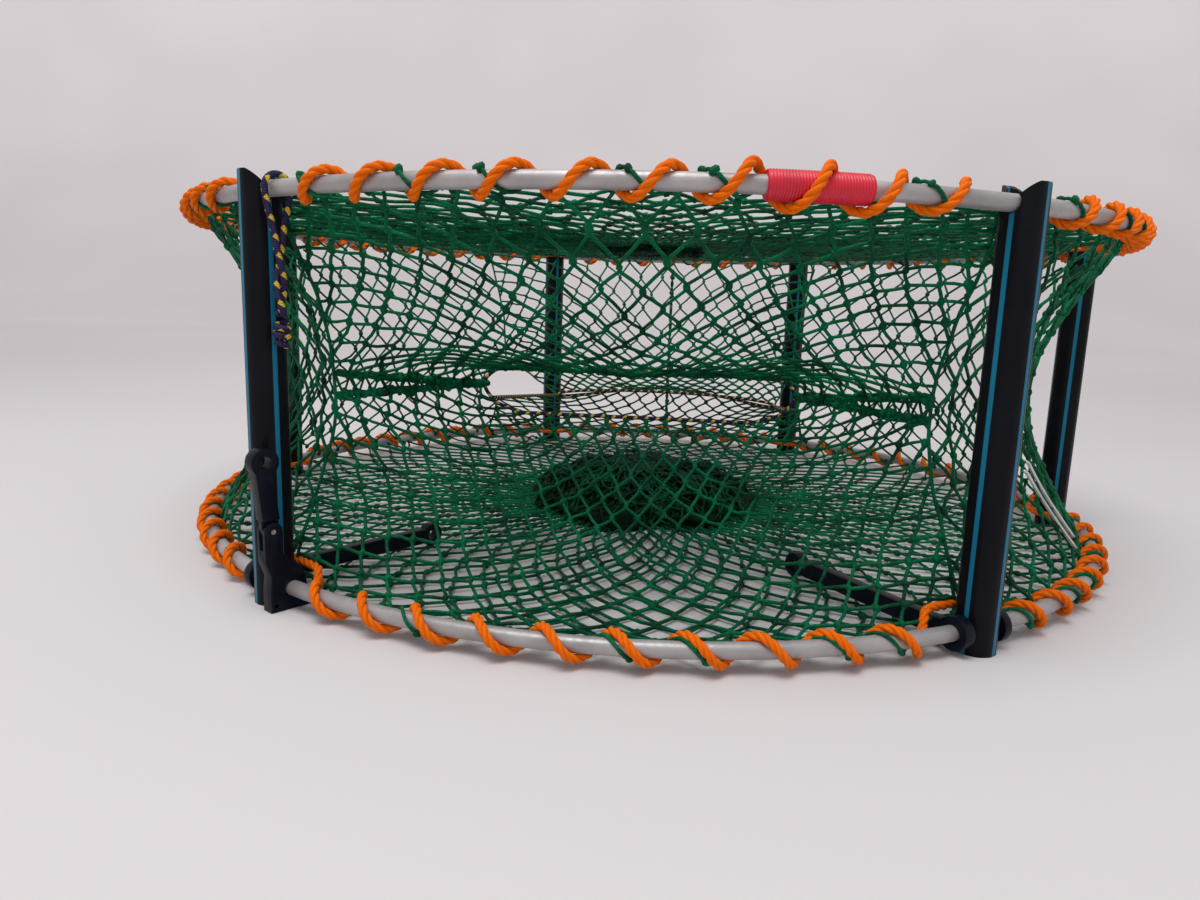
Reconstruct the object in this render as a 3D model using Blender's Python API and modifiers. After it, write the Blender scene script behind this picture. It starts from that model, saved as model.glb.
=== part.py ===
"""Collapsible crab trap: two rod rings held apart by six pipe struts, netting with two funnel mouths.

Metres, +Z up. The origin is the middle of the trap on the surface that it stands on. An azimuth is in
degrees: 0 is the front of the trap (-Y) and it grows towards +X. A strut's own frame has its origin on
the middle of the ring's rod, x outward, y along the ring and z up.
"""
import math

import bmesh
import bpy
from mathutils import Matrix, Vector

# Rings
RING_RADIUS = 0.395
RING_ROD = 0.010
RING_SPACING = 0.246
RING_SEGMENTS = 64
ROD_SIDES = 8

# Struts, of water pipe
PIPE_OUTER = 0.025
PIPE_WALL = 0.0023
PIPE_FOOT = 0.0135
PIPE_HEAD = 0.011
HOLE_CLEARANCE = 0.0009
MOUTH_HALF = 0.0115
NECK_HALF = 0.0042
STRUTS = {
    "strut_front_left": -37.0,
    "strut_front_right": 31.0,
    "strut_right": 88.0,
    "strut_back_right": 150.0,
    "strut_back_left": 200.0,
    "strut_left": 260.5,
}

# Clearance between pieces that touch
GAP = 0.0003

# Rope wound round the rings
LASHING = 0.0074
TURNS_PER_BAY = 4
POINTS_PER_TURN = 8
PLAIN_RUN = 3.3
FITTED_RUN = 5.2
FITTED_HOLD = 3.7
FITTED_LIFT = 0.0099

# Ribbed sleeve on the top ring
SLEEVE_START = 8.0
SLEEVE_END = 16.0
SLEEVE_OUTER = 0.016
SLEEVE_RIB = 0.0006
SLEEVE_RIBS = 12
SLEEVE_CLEARANCE = 0.0011

# Netting
NET_THICK = 0.002
FLAT_NET_THICK = 0.0012
FLAT_NET_HEM = 0.008
GAP_ROWS = 4
GAPS_PER_ROW = 16
GAP_SHARE = 0.70
ROW_GROWTH = 1.45
WALL_EDGE = 0.016
WALL_OPENINGS = (8, 4)
BAR_SHARE = 0.25
WAIST_DEPTH = 0.045
BAY_SEAM = 0.12
SEAM_CORD = 0.003
FACET_INSET = 0.0010
SEAM_AZIMUTH = 175.5

# Gathered bunches of netting
FLOOR_GATHER_RADIUS = 0.133
FLOOR_GATHER_HEIGHT = 0.034
TOP_GATHER_RADIUS = 0.057
TOP_GATHER_HEIGHT = 0.014

# Funnel mouths and their ropes
MOUTH_ROPE = 0.0032
MOUTH_REACH = 0.147
MOUTH_HALF_WIDTH = 0.1265
FRONT_MOUTH_AZIMUTH = -3.0
BACK_MOUTH_AZIMUTH = 172.0
BACK_FUNNEL_START = 146.0
BACK_FUNNEL_END = 214.0
LIP_SHARE = 0.93
LIP_CLEARANCE = 0.0009

# Moulded fittings on the bottom ring
BORE_CLEARANCE = 0.0008
FITTING_OFFSET = 0.0132
LATCH_THICK = 0.0096
TONGUE_THICK = 0.0036
STEM_INNER = 0.0056
STEM_WIDTH = 0.012
LATCH_PIVOT_HEIGHT = 0.039
LATCH_PIN = 0.0032
PIN_CLEARANCE = 0.0004
ARM_HEAD_HEIGHT = 0.044
ARM_HEAD_OUTWARD = 0.0034
ARM_HEAD_RADIUS = 0.009
EYELET_RADIUS = 0.0042
LEVER_THICK = 0.008
LEVER_LENGTH = 0.141
LEVER_WIDTH = 0.011
LEVER_HEAD_RADIUS = 0.009
EYE_RADIUS = 0.0105
TIE_HOLE = 0.0014
STOP_THICK = 0.006

# Wire clasp on the right of the front
CLASP_WIRE = 0.0025
CLASP_TOP_AZIMUTH = 54.5
CLASP_FOOT_AZIMUTH = 59.0
CLASP_TOP = 0.076
CLASP_FOOT = 0.022
CLASP_SPREAD = 0.013
CLASP_HOOK = 0.005

# Rope loop that hangs from the top ring beside the front left strut
LOOP_ROPE = 0.004
LOOP_OFFSET = 0.020
LOOP_DROP = 0.075
KNOT_RADIUS = 0.006
KNOT_HALF_HEIGHT = 0.010

# Heights of the two rings' rods above the standing surface
LOW = PIPE_FOOT
HIGH = PIPE_FOOT + RING_SPACING
ROD_RADIUS = RING_ROD / 2
PIPE_RADIUS = PIPE_OUTER / 2
ROPE_RADIUS = LASHING / 2
BORE = ROD_RADIUS + BORE_CLEARANCE
NET_EDGE = RING_RADIUS - PIPE_RADIUS - NET_THICK / 2 - GAP - 0.0001
UPRIGHT = Matrix.Rotation(math.pi / 2, 4, "X")

COLOURS = {
    "galvanised": ((0.42, 0.40, 0.40), 0.45, 0.9),
    "black_pipe": ((0.012, 0.014, 0.022), 0.35, 0.0),
    "orange_rope": ((0.85, 0.19, 0.01), 0.65, 0.0),
    "green_net": ((0.0, 0.16, 0.06), 0.7, 0.0),
    "red_sleeve": ((0.70, 0.01, 0.04), 0.4, 0.0),
    "navy_rope": ((0.05, 0.04, 0.10), 0.7, 0.0),
    "black_moulding": ((0.01, 0.01, 0.016), 0.3, 0.0),
    "bright_wire": ((0.6, 0.6, 0.62), 0.3, 1.0),
}

parts = bpy.data.collections.new("crab_trap")
tools = bpy.data.collections.new("cutters")


def clear_scene():
    for old in list(bpy.data.objects):
        bpy.data.objects.remove(old)
    bpy.context.scene.collection.children.link(parts)
    bpy.context.scene.collection.children.link(tools)


def material(name):
    """The named surface, made on first use."""
    found = bpy.data.materials.get(name)
    if found:
        return found
    colour, roughness, metallic = COLOURS[name]
    made = bpy.data.materials.new(name)
    made.use_nodes = True
    shader = made.node_tree.nodes["Principled BSDF"]
    shader.inputs["Base Color"].default_value = (*colour, 1.0)
    shader.inputs["Roughness"].default_value = roughness
    shader.inputs["Metallic"].default_value = metallic
    return made


def ring_frame(azimuth, height, along=0.0):
    """The frame of a strut or fitting: on the ring's rod, x outward, y along the ring, z up."""
    turn = math.radians(azimuth - 90)
    frame = Matrix.Rotation(turn, 4, "Z") @ Matrix.Translation((RING_RADIUS, along, 0))
    return Matrix.Translation((0, 0, height)) @ frame


def on_ring(azimuth, outward, height):
    """World point at an azimuth, measured outward from the ring's rod and up from the standing surface."""
    turn = math.radians(azimuth - 90)
    radius = RING_RADIUS + outward
    return Vector((radius * math.cos(turn), radius * math.sin(turn), height))


def add(name, data, surface, matrix=None, collection=parts):
    made = bpy.data.objects.new(name, data)
    collection.objects.link(made)
    if matrix is not None:
        made.matrix_world = matrix
    if surface:
        data.materials.clear()
        data.materials.append(material(surface))
    return made


def baked(source):
    """The object's evaluated mesh with its caps welded; the object is removed."""
    bpy.context.view_layer.update()
    evaluated = source.evaluated_get(bpy.context.evaluated_depsgraph_get())
    mesh = bpy.data.meshes.new_from_object(evaluated)
    work = bmesh.new()
    work.from_mesh(mesh)
    bmesh.ops.remove_doubles(work, verts=work.verts, dist=0.00001)
    work.to_mesh(mesh)
    work.free()
    bpy.data.objects.remove(source)
    return mesh


def smooth(mesh, angle=40):
    mesh.shade_smooth()
    mesh.set_sharp_from_angle(angle=math.radians(angle))


def tube_curve(name, points, thick, resolution=1, cyclic=False, radii=None):
    curve = bpy.data.curves.new(name, "CURVE")
    curve.dimensions = "3D"
    curve.bevel_depth = thick / 2
    curve.bevel_resolution = resolution
    curve.use_fill_caps = True
    spline = curve.splines.new("POLY")
    spline.points.add(len(points) - 1)
    for index, point in enumerate(points):
        spline.points[index].co = (*point, 1.0)
        if radii:
            spline.points[index].radius = radii[index]
    spline.use_cyclic_u = cyclic
    return curve


def tube(name, points, thick, surface, resolution=1, cyclic=False, matrix=None):
    return add(name, tube_curve(name, points, thick, resolution, cyclic), surface, matrix)


def outline_curve(name, outlines, thick):
    """A flat plate, the first outline cut by the others."""
    curve = bpy.data.curves.new(name, "CURVE")
    curve.dimensions = "2D"
    curve.fill_mode = "BOTH"
    curve.extrude = thick / 2
    for outline in outlines:
        spline = curve.splines.new("POLY")
        spline.points.add(len(outline) - 1)
        for index, (x, y) in enumerate(outline):
            spline.points[index].co = (x, y, 0.0, 1.0)
        spline.use_cyclic_u = True
    return curve


def circle(x, y, radius, sides=16):
    steps = [2 * math.pi * step / sides for step in range(sides)]
    return [(x + radius * math.cos(a), y + radius * math.sin(a)) for a in steps]


def arc(x, y, radius, start, end, steps):
    angles = [math.radians(start + (end - start) * step / steps) for step in range(steps + 1)]
    return [(x + radius * math.cos(a), y + radius * math.sin(a)) for a in angles]


def cylinder(name, radius, depth, matrix, sides=16):
    work = bmesh.new()
    bmesh.ops.create_cone(
        work, cap_ends=True, segments=sides, radius1=radius, radius2=radius, depth=depth, matrix=matrix
    )
    mesh = bpy.data.meshes.new(name)
    work.to_mesh(mesh)
    work.free()
    return mesh


def box(name, low, high):
    size = Vector(high) - Vector(low)
    centre = (Vector(high) + Vector(low)) / 2
    work = bmesh.new()
    bmesh.ops.create_cube(work, size=1.0, matrix=Matrix.Translation(centre) @ Matrix.Diagonal((*size, 1.0)))
    mesh = bpy.data.meshes.new(name)
    work.to_mesh(mesh)
    work.free()
    return mesh


def cut(target, cutters):
    """Cuts the target by each mesh in turn and returns the target's finished mesh."""
    helpers = []
    for index, mesh in enumerate(cutters):
        helper = add(f"cutter_{target.name}_{index}", mesh, None, target.matrix_world, tools)
        helper.hide_render = True
        helper.display_type = "WIRE"
        modifier = target.modifiers.new(f"cut_{index}", "BOOLEAN")
        modifier.operation = "DIFFERENCE"
        modifier.object = helper
        helpers.append(helper)
    mesh = baked(target)
    for helper in helpers:
        bpy.data.objects.remove(helper)
    return mesh


def prism(name, outlines, thick, along=0.0):
    """An upright plate's mesh: outlines are (outward, up), the thickness lies along the ring."""
    helper = add(name, outline_curve(name, outlines, thick), None)
    mesh = baked(helper)
    mesh.transform(Matrix.Translation((0, along, 0)) @ UPRIGHT)
    return mesh


def make_rings():
    for name, height in (("bottom_ring", LOW), ("top_ring", HIGH)):
        bpy.ops.mesh.primitive_torus_add(
            major_segments=RING_SEGMENTS,
            minor_segments=ROD_SIDES,
            major_radius=RING_RADIUS,
            minor_radius=ROD_RADIUS,
            location=(0, 0, height),
        )
        ring = bpy.context.object
        ring.name = name
        for owner in list(ring.users_collection):
            owner.objects.unlink(ring)
        parts.objects.link(ring)
        ring.data.materials.append(material("galvanised"))
        smooth(ring.data)


def strut_mesh():
    """A pipe with a hole for the bottom rod and a V mouth that snaps over the top rod."""
    length = PIPE_FOOT + RING_SPACING + PIPE_HEAD
    middle = Matrix.Translation((0, 0, length / 2 - PIPE_FOOT))
    pipe = add("strut", cylinder("strut", PIPE_RADIUS, length, middle, 20), None)
    hole = ROD_RADIUS + HOLE_CLEARANCE
    neck = math.sqrt(hole**2 - NECK_HALF**2)
    lower = Matrix.Rotation(math.pi / 2, 4, "X")
    upper = Matrix.Translation((0, 0, RING_SPACING)) @ lower
    over = PIPE_HEAD * 1.2
    mouth = [
        (-NECK_HALF, RING_SPACING),
        (NECK_HALF, RING_SPACING),
        (NECK_HALF, RING_SPACING + neck),
        (MOUTH_HALF, RING_SPACING + PIPE_HEAD),
        (MOUTH_HALF, RING_SPACING + over),
        (-MOUTH_HALF, RING_SPACING + over),
        (-MOUTH_HALF, RING_SPACING + PIPE_HEAD),
        (-NECK_HALF, RING_SPACING + neck),
    ]
    return cut(
        pipe,
        [
            cylinder("bore", PIPE_RADIUS - PIPE_WALL, length * 1.2, middle, 16),
            cylinder("lower_hole", hole, PIPE_OUTER * 1.4, lower, 16),
            cylinder("upper_hole", hole, PIPE_OUTER * 1.4, upper, 16),
            prism("mouth", [mouth], PIPE_OUTER * 1.4),
        ],
    )


def make_struts():
    mesh = strut_mesh()
    smooth(mesh, 30)
    for name, azimuth in STRUTS.items():
        add(name, mesh, "black_pipe", ring_frame(azimuth, LOW))


def sleeve_bulge(azimuth):
    """How much further out the lashing winds, from none to 1, where it passes over the sleeve."""
    ramp = 2.0
    if azimuth < SLEEVE_START:
        distance = SLEEVE_START - azimuth
    else:
        distance = max(0.0, azimuth - SLEEVE_END)
    share = min(1.0, max(0.0, 1.0 - (distance - 1.0) / ramp))
    return share * share * (3 - 2 * share)


def lashing_points(height, handed, fitted_lift, over_sleeve):
    """One rope round a ring: equal turns in each bay, and a straight run inside each strut."""
    chord = math.cos(math.pi / POINTS_PER_TURN)
    wound = (ROD_RADIUS + GAP + ROPE_RADIUS) / chord
    over = (SLEEVE_OUTER / 2 + GAP + ROPE_RADIUS) / chord
    inside = PIPE_RADIUS + GAP + ROPE_RADIUS + 0.0009
    azimuths = sorted(STRUTS.values())
    azimuths = [azimuths[-1] - 360] + azimuths
    fitted = (STRUTS["strut_front_left"], STRUTS["strut_front_right"])
    start_gap = 0.12
    points = []
    for index, (first, last) in enumerate(zip(azimuths[:-1], azimuths[1:])):
        run_in = FITTED_RUN if first in fitted else PLAIN_RUN
        run_out = FITTED_RUN if last in fitted else PLAIN_RUN
        hold_in = FITTED_HOLD if first in fitted else PLAIN_RUN / 2
        hold_out = FITTED_HOLD if last in fitted else PLAIN_RUN / 2
        lift_in = fitted_lift if first in fitted else 0.0
        lift_out = fitted_lift if last in fitted else 0.0
        opening = first + (start_gap if index == 0 else 0.0)
        points.append(on_ring(opening, -inside, height + lift_in))
        points.append(on_ring(first + hold_in, -inside, height + lift_in))
        steps = TURNS_PER_BAY * POINTS_PER_TURN
        for step in range(steps + 1):
            share = step / steps
            azimuth = first + run_in + (last - run_out - first - run_in) * share
            angle = math.pi + handed * 2 * math.pi * TURNS_PER_BAY * share
            bulge = sleeve_bulge(azimuth) if over_sleeve else 0.0
            radius = wound + (over - wound) * bulge
            points.append(on_ring(azimuth, radius * math.cos(angle), height + radius * math.sin(angle)))
        points.append(on_ring(last - hold_out, -inside, height + lift_out))
    points.append(on_ring(azimuths[-1] - start_gap, -inside, height))
    return points


def least_gap(points, thick, skip):
    """The least clear distance between turns that are not neighbours along the rope."""
    least = 1.0
    for index, point in enumerate(points):
        for other in points[index + skip :]:
            least = min(least, (point - other).length - thick)
    return least


def make_lashings():
    for name, height, handed, lift, over_sleeve in (
        ("bottom_lashing", LOW, -1, FITTED_LIFT, False),
        ("top_lashing", HIGH, 1, 0.0, True),
    ):
        points = lashing_points(height, handed, lift, over_sleeve)
        wound = points[1:-1]
        print(name, "least gap mm", round(1000 * least_gap(wound, LASHING, POINTS_PER_TURN - 2), 2))
        tube(name, points, LASHING, "orange_rope")


def make_sleeve():
    """A ribbed tube that the rod passes through."""
    steps = 2 * SLEEVE_RIBS
    azimuths = [SLEEVE_START + (SLEEVE_END - SLEEVE_START) * step / steps for step in range(steps + 1)]
    points = [on_ring(azimuth, 0, HIGH) for azimuth in azimuths]
    radii = [1.0 if step % 2 else 1.0 - SLEEVE_RIB / (SLEEVE_OUTER / 2) for step in range(steps + 1)]
    sleeve = add("ring_sleeve", tube_curve("sleeve", points, SLEEVE_OUTER, 2, radii=radii), None)
    body = add("ring_sleeve", baked(sleeve), None)
    reach = 1.0
    through = [SLEEVE_START - reach] + azimuths[:: steps // 4] + [SLEEVE_END + reach]
    bore = 2 * (ROD_RADIUS + SLEEVE_CLEARANCE)
    bore_points = [on_ring(azimuth, 0, HIGH) for azimuth in through]
    bore_mesh = baked(add("bore", tube_curve("bore", bore_points, bore, 2), None))
    add("ring_sleeve", cut(body, [bore_mesh]), "red_sleeve")


def wall_radius(height):
    """The wall net is tied at both rings and drawn in between them."""
    share = (height - LOW - WALL_EDGE) / (RING_SPACING - 2 * WALL_EDGE)
    return NET_EDGE - WAIST_DEPTH * math.sin(math.pi * min(1.0, max(0.0, share)))


def sheet(name, columns, rows, place):
    """A sheet through place(u, v), with u and v from 0 to 1, in even steps."""
    work = bmesh.new()
    bmesh.ops.create_grid(work, x_segments=columns, y_segments=rows, size=0.5)
    for vert in work.verts:
        vert.co = place(vert.co.x + 0.5, vert.co.y + 0.5)
    mesh = bpy.data.meshes.new(name)
    work.to_mesh(mesh)
    work.free()
    return shell(name, mesh)


def bar_lines(openings):
    """The shares of the width at which bars and openings meet."""
    opening = 1.0 / (openings + BAR_SHARE * (openings + 1))
    lines = [0.0]
    for index in range(2 * openings + 1):
        lines.append(lines[-1] + opening * (1.0 if index % 2 else BAR_SHARE))
    return lines


def open_sheet(name, across, up, place):
    """A sheet through place(u, v) with a plain grid of openings."""
    columns = bar_lines(across)
    rows = bar_lines(up)
    work = bmesh.new()
    grid = [[work.verts.new(place(u, v)) for v in rows] for u in columns]
    for i in range(len(columns) - 1):
        for j in range(len(rows) - 1):
            if i % 2 == 0 or j % 2 == 0:
                work.faces.new((grid[i][j], grid[i + 1][j], grid[i + 1][j + 1], grid[i][j + 1]))
    mesh = bpy.data.meshes.new(name)
    work.to_mesh(mesh)
    work.free()
    return shell(name, mesh)


def shell(name, mesh):
    """The sheet as a thin closed body."""
    made = add(name, mesh, "green_net")
    solid = made.modifiers.new("thickness", "SOLIDIFY")
    solid.thickness = NET_THICK
    solid.offset = 0.0
    solid.use_even_offset = True
    return made


def wall_point(azimuth, height):
    return on_ring(azimuth, wall_radius(height) - RING_RADIUS, height)


def make_wall(name, start, end):
    low = LOW + WALL_EDGE
    high = HIGH - WALL_EDGE

    def place(u, v):
        return wall_point(start + BAY_SEAM + (end - start - 2 * BAY_SEAM) * u, low + (high - low) * v)

    return open_sheet(name, *WALL_OPENINGS, place)


class Funnel:
    """A bay of the wall that is drawn inward to a mouth with a rope rim."""

    def __init__(self, name, start, end, azimuth, wall_low, wall_high, rim):
        self.name = name
        self.start = start + BAY_SEAM
        self.end = end - BAY_SEAM
        self.wall_low = LOW + wall_low
        self.wall_high = LOW + wall_high
        self.rim = rim
        turn = math.radians(azimuth - 90)
        self.outward = Vector((math.cos(turn), math.sin(turn), 0))
        self.along = Vector((-math.sin(turn), math.cos(turn), 0))

    def mouth(self, share, upper, clear=0.0):
        """A point of the rim, share from -1 to 1 along it, or clear of the rim on its outer side."""
        back, height = self.rim(share, upper)
        step = 0.01
        slope = (self.rim(share + step, upper)[0] - back) / (step * MOUTH_HALF_WIDTH) if clear else 0.0
        reach = MOUTH_REACH + back + clear * math.hypot(1, slope)
        base = self.outward * reach + self.along * (share * MOUTH_HALF_WIDTH)
        return Vector((base.x, base.y, LOW + height))

    def panel(self, upper):
        edge = HIGH - WALL_EDGE if upper else LOW + WALL_EDGE
        knee = self.wall_high if upper else self.wall_low
        clear = MOUTH_ROPE / 2 + LIP_CLEARANCE

        def place(u, v):
            side = abs(2 * u - 1) ** 3
            fall = 1 - (1 - v) ** 3 if upper else v
            drop = side * min(1.0, 2 * v) + (1 - side) * fall
            reach = side * max(0.0, 2 * v - 1) + (1 - side) * v
            height = edge + (knee - edge) * drop
            wall = wall_point(self.start + (self.end - self.start) * u, height)
            lip = self.mouth((2 * u - 1) * LIP_SHARE, upper, clear)
            spot = wall.lerp(lip, reach)
            spot.z = height + (lip.z - knee) * reach
            return spot

        level = "upper" if upper else "lower"
        return sheet(f"{self.name}_{level}_net", 10, 8, place)

    def strip(self, name, side):
        """The narrow laced strip between the two panels, from the wall to the end of the mouth."""
        azimuth = self.end if side > 0 else self.start
        clear = MOUTH_ROPE / 2 + LIP_CLEARANCE
        margin = NET_THICK

        def place(u, v):
            low = wall_point(azimuth, self.wall_low).lerp(self.mouth(side * LIP_SHARE, False, clear), u)
            high = wall_point(azimuth, self.wall_high).lerp(self.mouth(side * LIP_SHARE, True, clear), u)
            low.z += margin
            high.z -= margin
            return low.lerp(high, v)

        return sheet(name, 5, 1, place)

    def rope(self, points_per_side):
        """The rim rope, one closed loop through both lips."""
        points = []
        for step in range(2 * points_per_side):
            angle = math.pi * (step + 0.5) / points_per_side
            share = math.copysign(abs(math.cos(angle)) ** 0.8, math.cos(angle))
            points.append(self.mouth(share, angle < math.pi))
        return tube(f"{self.name}_rim_rope", points, MOUTH_ROPE, "navy_rope", cyclic=True)


def front_rim(share, upper):
    """Two nearly level lips joined by upright ends."""
    end_middle = 0.116
    end_half = 0.012
    bow = 1 - share * share
    rise = end_half * min(1.0, 6 * bow) ** 0.5
    if upper:
        return 0.0, end_middle + rise + 0.003 * bow
    return 0.0, end_middle - rise - 0.009 * bow


def back_rim(share, upper):
    """The upper lip arches up, the lower lip lies further out."""
    corner = 0.0745
    bow = 1 - share * share
    if upper:
        return 0.0, corner + 0.0195 * math.sqrt(bow)
    return 0.045 * bow, corner - 0.008 * math.sqrt(bow) * abs(share) + 0.010 * bow


def make_netting():
    front = Funnel(
        "front",
        STRUTS["strut_front_left"],
        STRUTS["strut_front_right"],
        FRONT_MOUTH_AZIMUTH,
        0.100,
        0.125,
        front_rim,
    )
    back = Funnel(
        "back", BACK_FUNNEL_START, BACK_FUNNEL_END, BACK_MOUTH_AZIMUTH, 0.050, 0.110, back_rim
    )
    for funnel in (front, back):
        funnel.panel(True)
        funnel.panel(False)
        funnel.rope(12)
    front.strip("front_strip_left", -1)
    front.strip("front_strip_right", 1)
    make_wall("wall_net_right", STRUTS["strut_front_right"], BACK_FUNNEL_START)
    make_wall("wall_net_left", BACK_FUNNEL_END, STRUTS["strut_front_left"] + 360)
    make_ties(front, back)
    cord = RING_RADIUS - NET_EDGE - NET_THICK / 2 - GAP - SEAM_CORD / 2 + FACET_INSET
    seam_low = LOW + ROD_RADIUS + LASHING + 0.002
    seam_high = HIGH - ROD_RADIUS - LASHING - 0.002
    seam = [on_ring(SEAM_AZIMUTH, -cord, seam_low), on_ring(SEAM_AZIMUTH, -cord, seam_high)]
    tube("seam_cord", seam, SEAM_CORD, "green_net")


def make_ties(front, back):
    """Ropes that pull the ends of the two mouths towards each other."""
    for name, front_side, back_side in (("tie_rope_left", -1, 1), ("tie_rope_right", 1, -1)):
        first = front.mouth(front_side, True)
        last = back.mouth(back_side, True)
        direction = (last - first).normalized()
        inset = MOUTH_ROPE / 2 + GAP
        steps = 6
        ends = (first + direction * inset * 1.3, last - direction * inset * 1.3)
        points = [ends[0].lerp(ends[1], step / steps) for step in range(steps + 1)]
        tube(name, points, MOUTH_ROPE, "navy_rope")


def make_flat_net(name, radius, height):
    """A round net, its rows of diamond gaps closer together towards the gathered middle."""
    outlines = [circle(0, 0, radius, 48)]
    middle = (radius - FLAT_NET_HEM) / (1 + GAP_SHARE * (ROW_GROWTH - 1))
    half = GAP_SHARE * math.pi / GAPS_PER_ROW
    for row in range(GAP_ROWS):
        inner = middle - GAP_SHARE * (middle - middle / ROW_GROWTH)
        outer = middle + GAP_SHARE * (middle * ROW_GROWTH - middle)
        for index in range(GAPS_PER_ROW):
            angle = 2 * math.pi * (index + 0.5 * (row % 2)) / GAPS_PER_ROW
            corners = ((inner, 0), (middle, half), (outer, 0), (middle, -half))
            outlines.append([(r * math.cos(angle + a), r * math.sin(angle + a)) for r, a in corners])
        middle /= ROW_GROWTH
    net = add(name, outline_curve(name, outlines, FLAT_NET_THICK), None)
    return add(name, baked(net), "green_net", Matrix.Translation((0, 0, height)))


def make_gather(name, radius, thick, base):
    """A bunch of netting: a low dome with a flat underside."""
    work = bmesh.new()
    bmesh.ops.create_uvsphere(work, u_segments=20, v_segments=10, radius=1.0)
    for vert in work.verts:
        level = vert.co.z
        vert.co.z = 0.25 * level if level < 0 else level
        vert.co.x *= radius
        vert.co.y *= radius
        vert.co.z = (vert.co.z + 0.25) / 1.25 * thick + base
    mesh = bpy.data.meshes.new(name)
    work.to_mesh(mesh)
    work.free()
    smooth(mesh)
    return add(name, mesh, "green_net")


def make_flat_nets():
    floor = GAP + FLAT_NET_THICK / 2
    make_flat_net("floor_net", RING_RADIUS - PIPE_RADIUS - 2 * GAP, floor)
    rope_inner = PIPE_RADIUS + GAP + LASHING + 0.0009
    make_flat_net("top_net", RING_RADIUS - rope_inner - GAP, HIGH)
    make_gather("floor_gather", FLOOR_GATHER_RADIUS, FLOOR_GATHER_HEIGHT, floor + FLAT_NET_THICK / 2 + GAP)
    top_base = HIGH - FLAT_NET_THICK / 2 - GAP - TOP_GATHER_HEIGHT
    make_gather("top_gather", TOP_GATHER_RADIUS, TOP_GATHER_HEIGHT, top_base)


def make_latch():
    """A clip on the bottom rod with a forked stem, its pin, and the arm that stands in the fork."""
    frame = ring_frame(STRUTS["strut_front_left"], LOW)
    centre = FITTING_OFFSET + LATCH_THICK / 2
    pivot_x = STEM_INNER + STEM_WIDTH / 2
    pivot = (pivot_x, LATCH_PIVOT_HEIGHT)
    pin_hole = circle(*pivot, LATCH_PIN / 2 + PIN_CLEARANCE, 12)
    sole = -PIPE_FOOT + GAP
    outline = [(-0.011, sole), (-0.016, -0.010), (-0.016, -0.007), (-0.010, -0.001), (-0.0085, 0.008)]
    outline += [(-0.006, 0.014)]
    outline += [(0.0, 0.018), (STEM_INNER, 0.024)]
    outline += arc(*pivot, STEM_WIDTH / 2, 180, 0, 8)
    outline += [(STEM_INNER + STEM_WIDTH, 0.020), (0.014, 0.010), (0.015, 0.0), (0.015, sole)]
    tie_hole = circle(0.0115, -0.0092, TIE_HOLE, 10)
    outlines = [outline, circle(0, 0, BORE), pin_hole, tie_hole]
    body = add("latch_base", prism("latch_base", outlines, LATCH_THICK, centre), None)
    slot = TONGUE_THICK / 2 + GAP
    fork = box(
        "fork",
        (STEM_INNER - 0.002, centre - slot, LATCH_PIVOT_HEIGHT - STEM_WIDTH / 2 - 0.006),
        (STEM_INNER + STEM_WIDTH + 0.002, centre + slot, LATCH_PIVOT_HEIGHT + STEM_WIDTH),
    )
    add("latch_base", cut(body, [fork]), "black_moulding", frame)

    pin_length = LATCH_THICK - 2 * GAP
    lying = Matrix.Translation((pivot_x, centre, LATCH_PIVOT_HEIGHT)) @ Matrix.Rotation(math.pi / 2, 4, "X")
    pin = cylinder("latch_pin", LATCH_PIN / 2, pin_length, lying, 12)
    add("latch_pin", pin, "bright_wire", frame)

    arm_half = STEM_WIDTH / 2 - 0.0004
    head = (pivot_x + ARM_HEAD_OUTWARD, LATCH_PIVOT_HEIGHT + ARM_HEAD_HEIGHT)
    arm_outline = arc(*pivot, arm_half, 180, 360, 6)
    arm_outline += arc(*head, ARM_HEAD_RADIUS, -45, 240, 12)
    arm = prism("latch_arm", [arm_outline, pin_hole, circle(*head, EYELET_RADIUS, 12)], LATCH_THICK - 0.0012, centre)
    arm = add("latch_arm", arm, None)
    shoulder = LATCH_PIVOT_HEIGHT + STEM_WIDTH / 2 + 0.0015
    cheeks = [
        box(
            "cheek",
            (pivot_x - STEM_WIDTH, centre + side * (TONGUE_THICK / 2 + LATCH_THICK / 2) - LATCH_THICK / 2, 0),
            (pivot_x + STEM_WIDTH, centre + side * (TONGUE_THICK / 2 + LATCH_THICK / 2) + LATCH_THICK / 2, shoulder),
        )
        for side in (-1, 1)
    ]
    mesh = cut(arm, cheeks)
    mesh.transform(Matrix.Translation((-pivot_x, 0, -LATCH_PIVOT_HEIGHT)))
    add("latch_arm", mesh, "black_moulding", frame @ Matrix.Translation((pivot_x, 0, LATCH_PIVOT_HEIGHT)))


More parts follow.
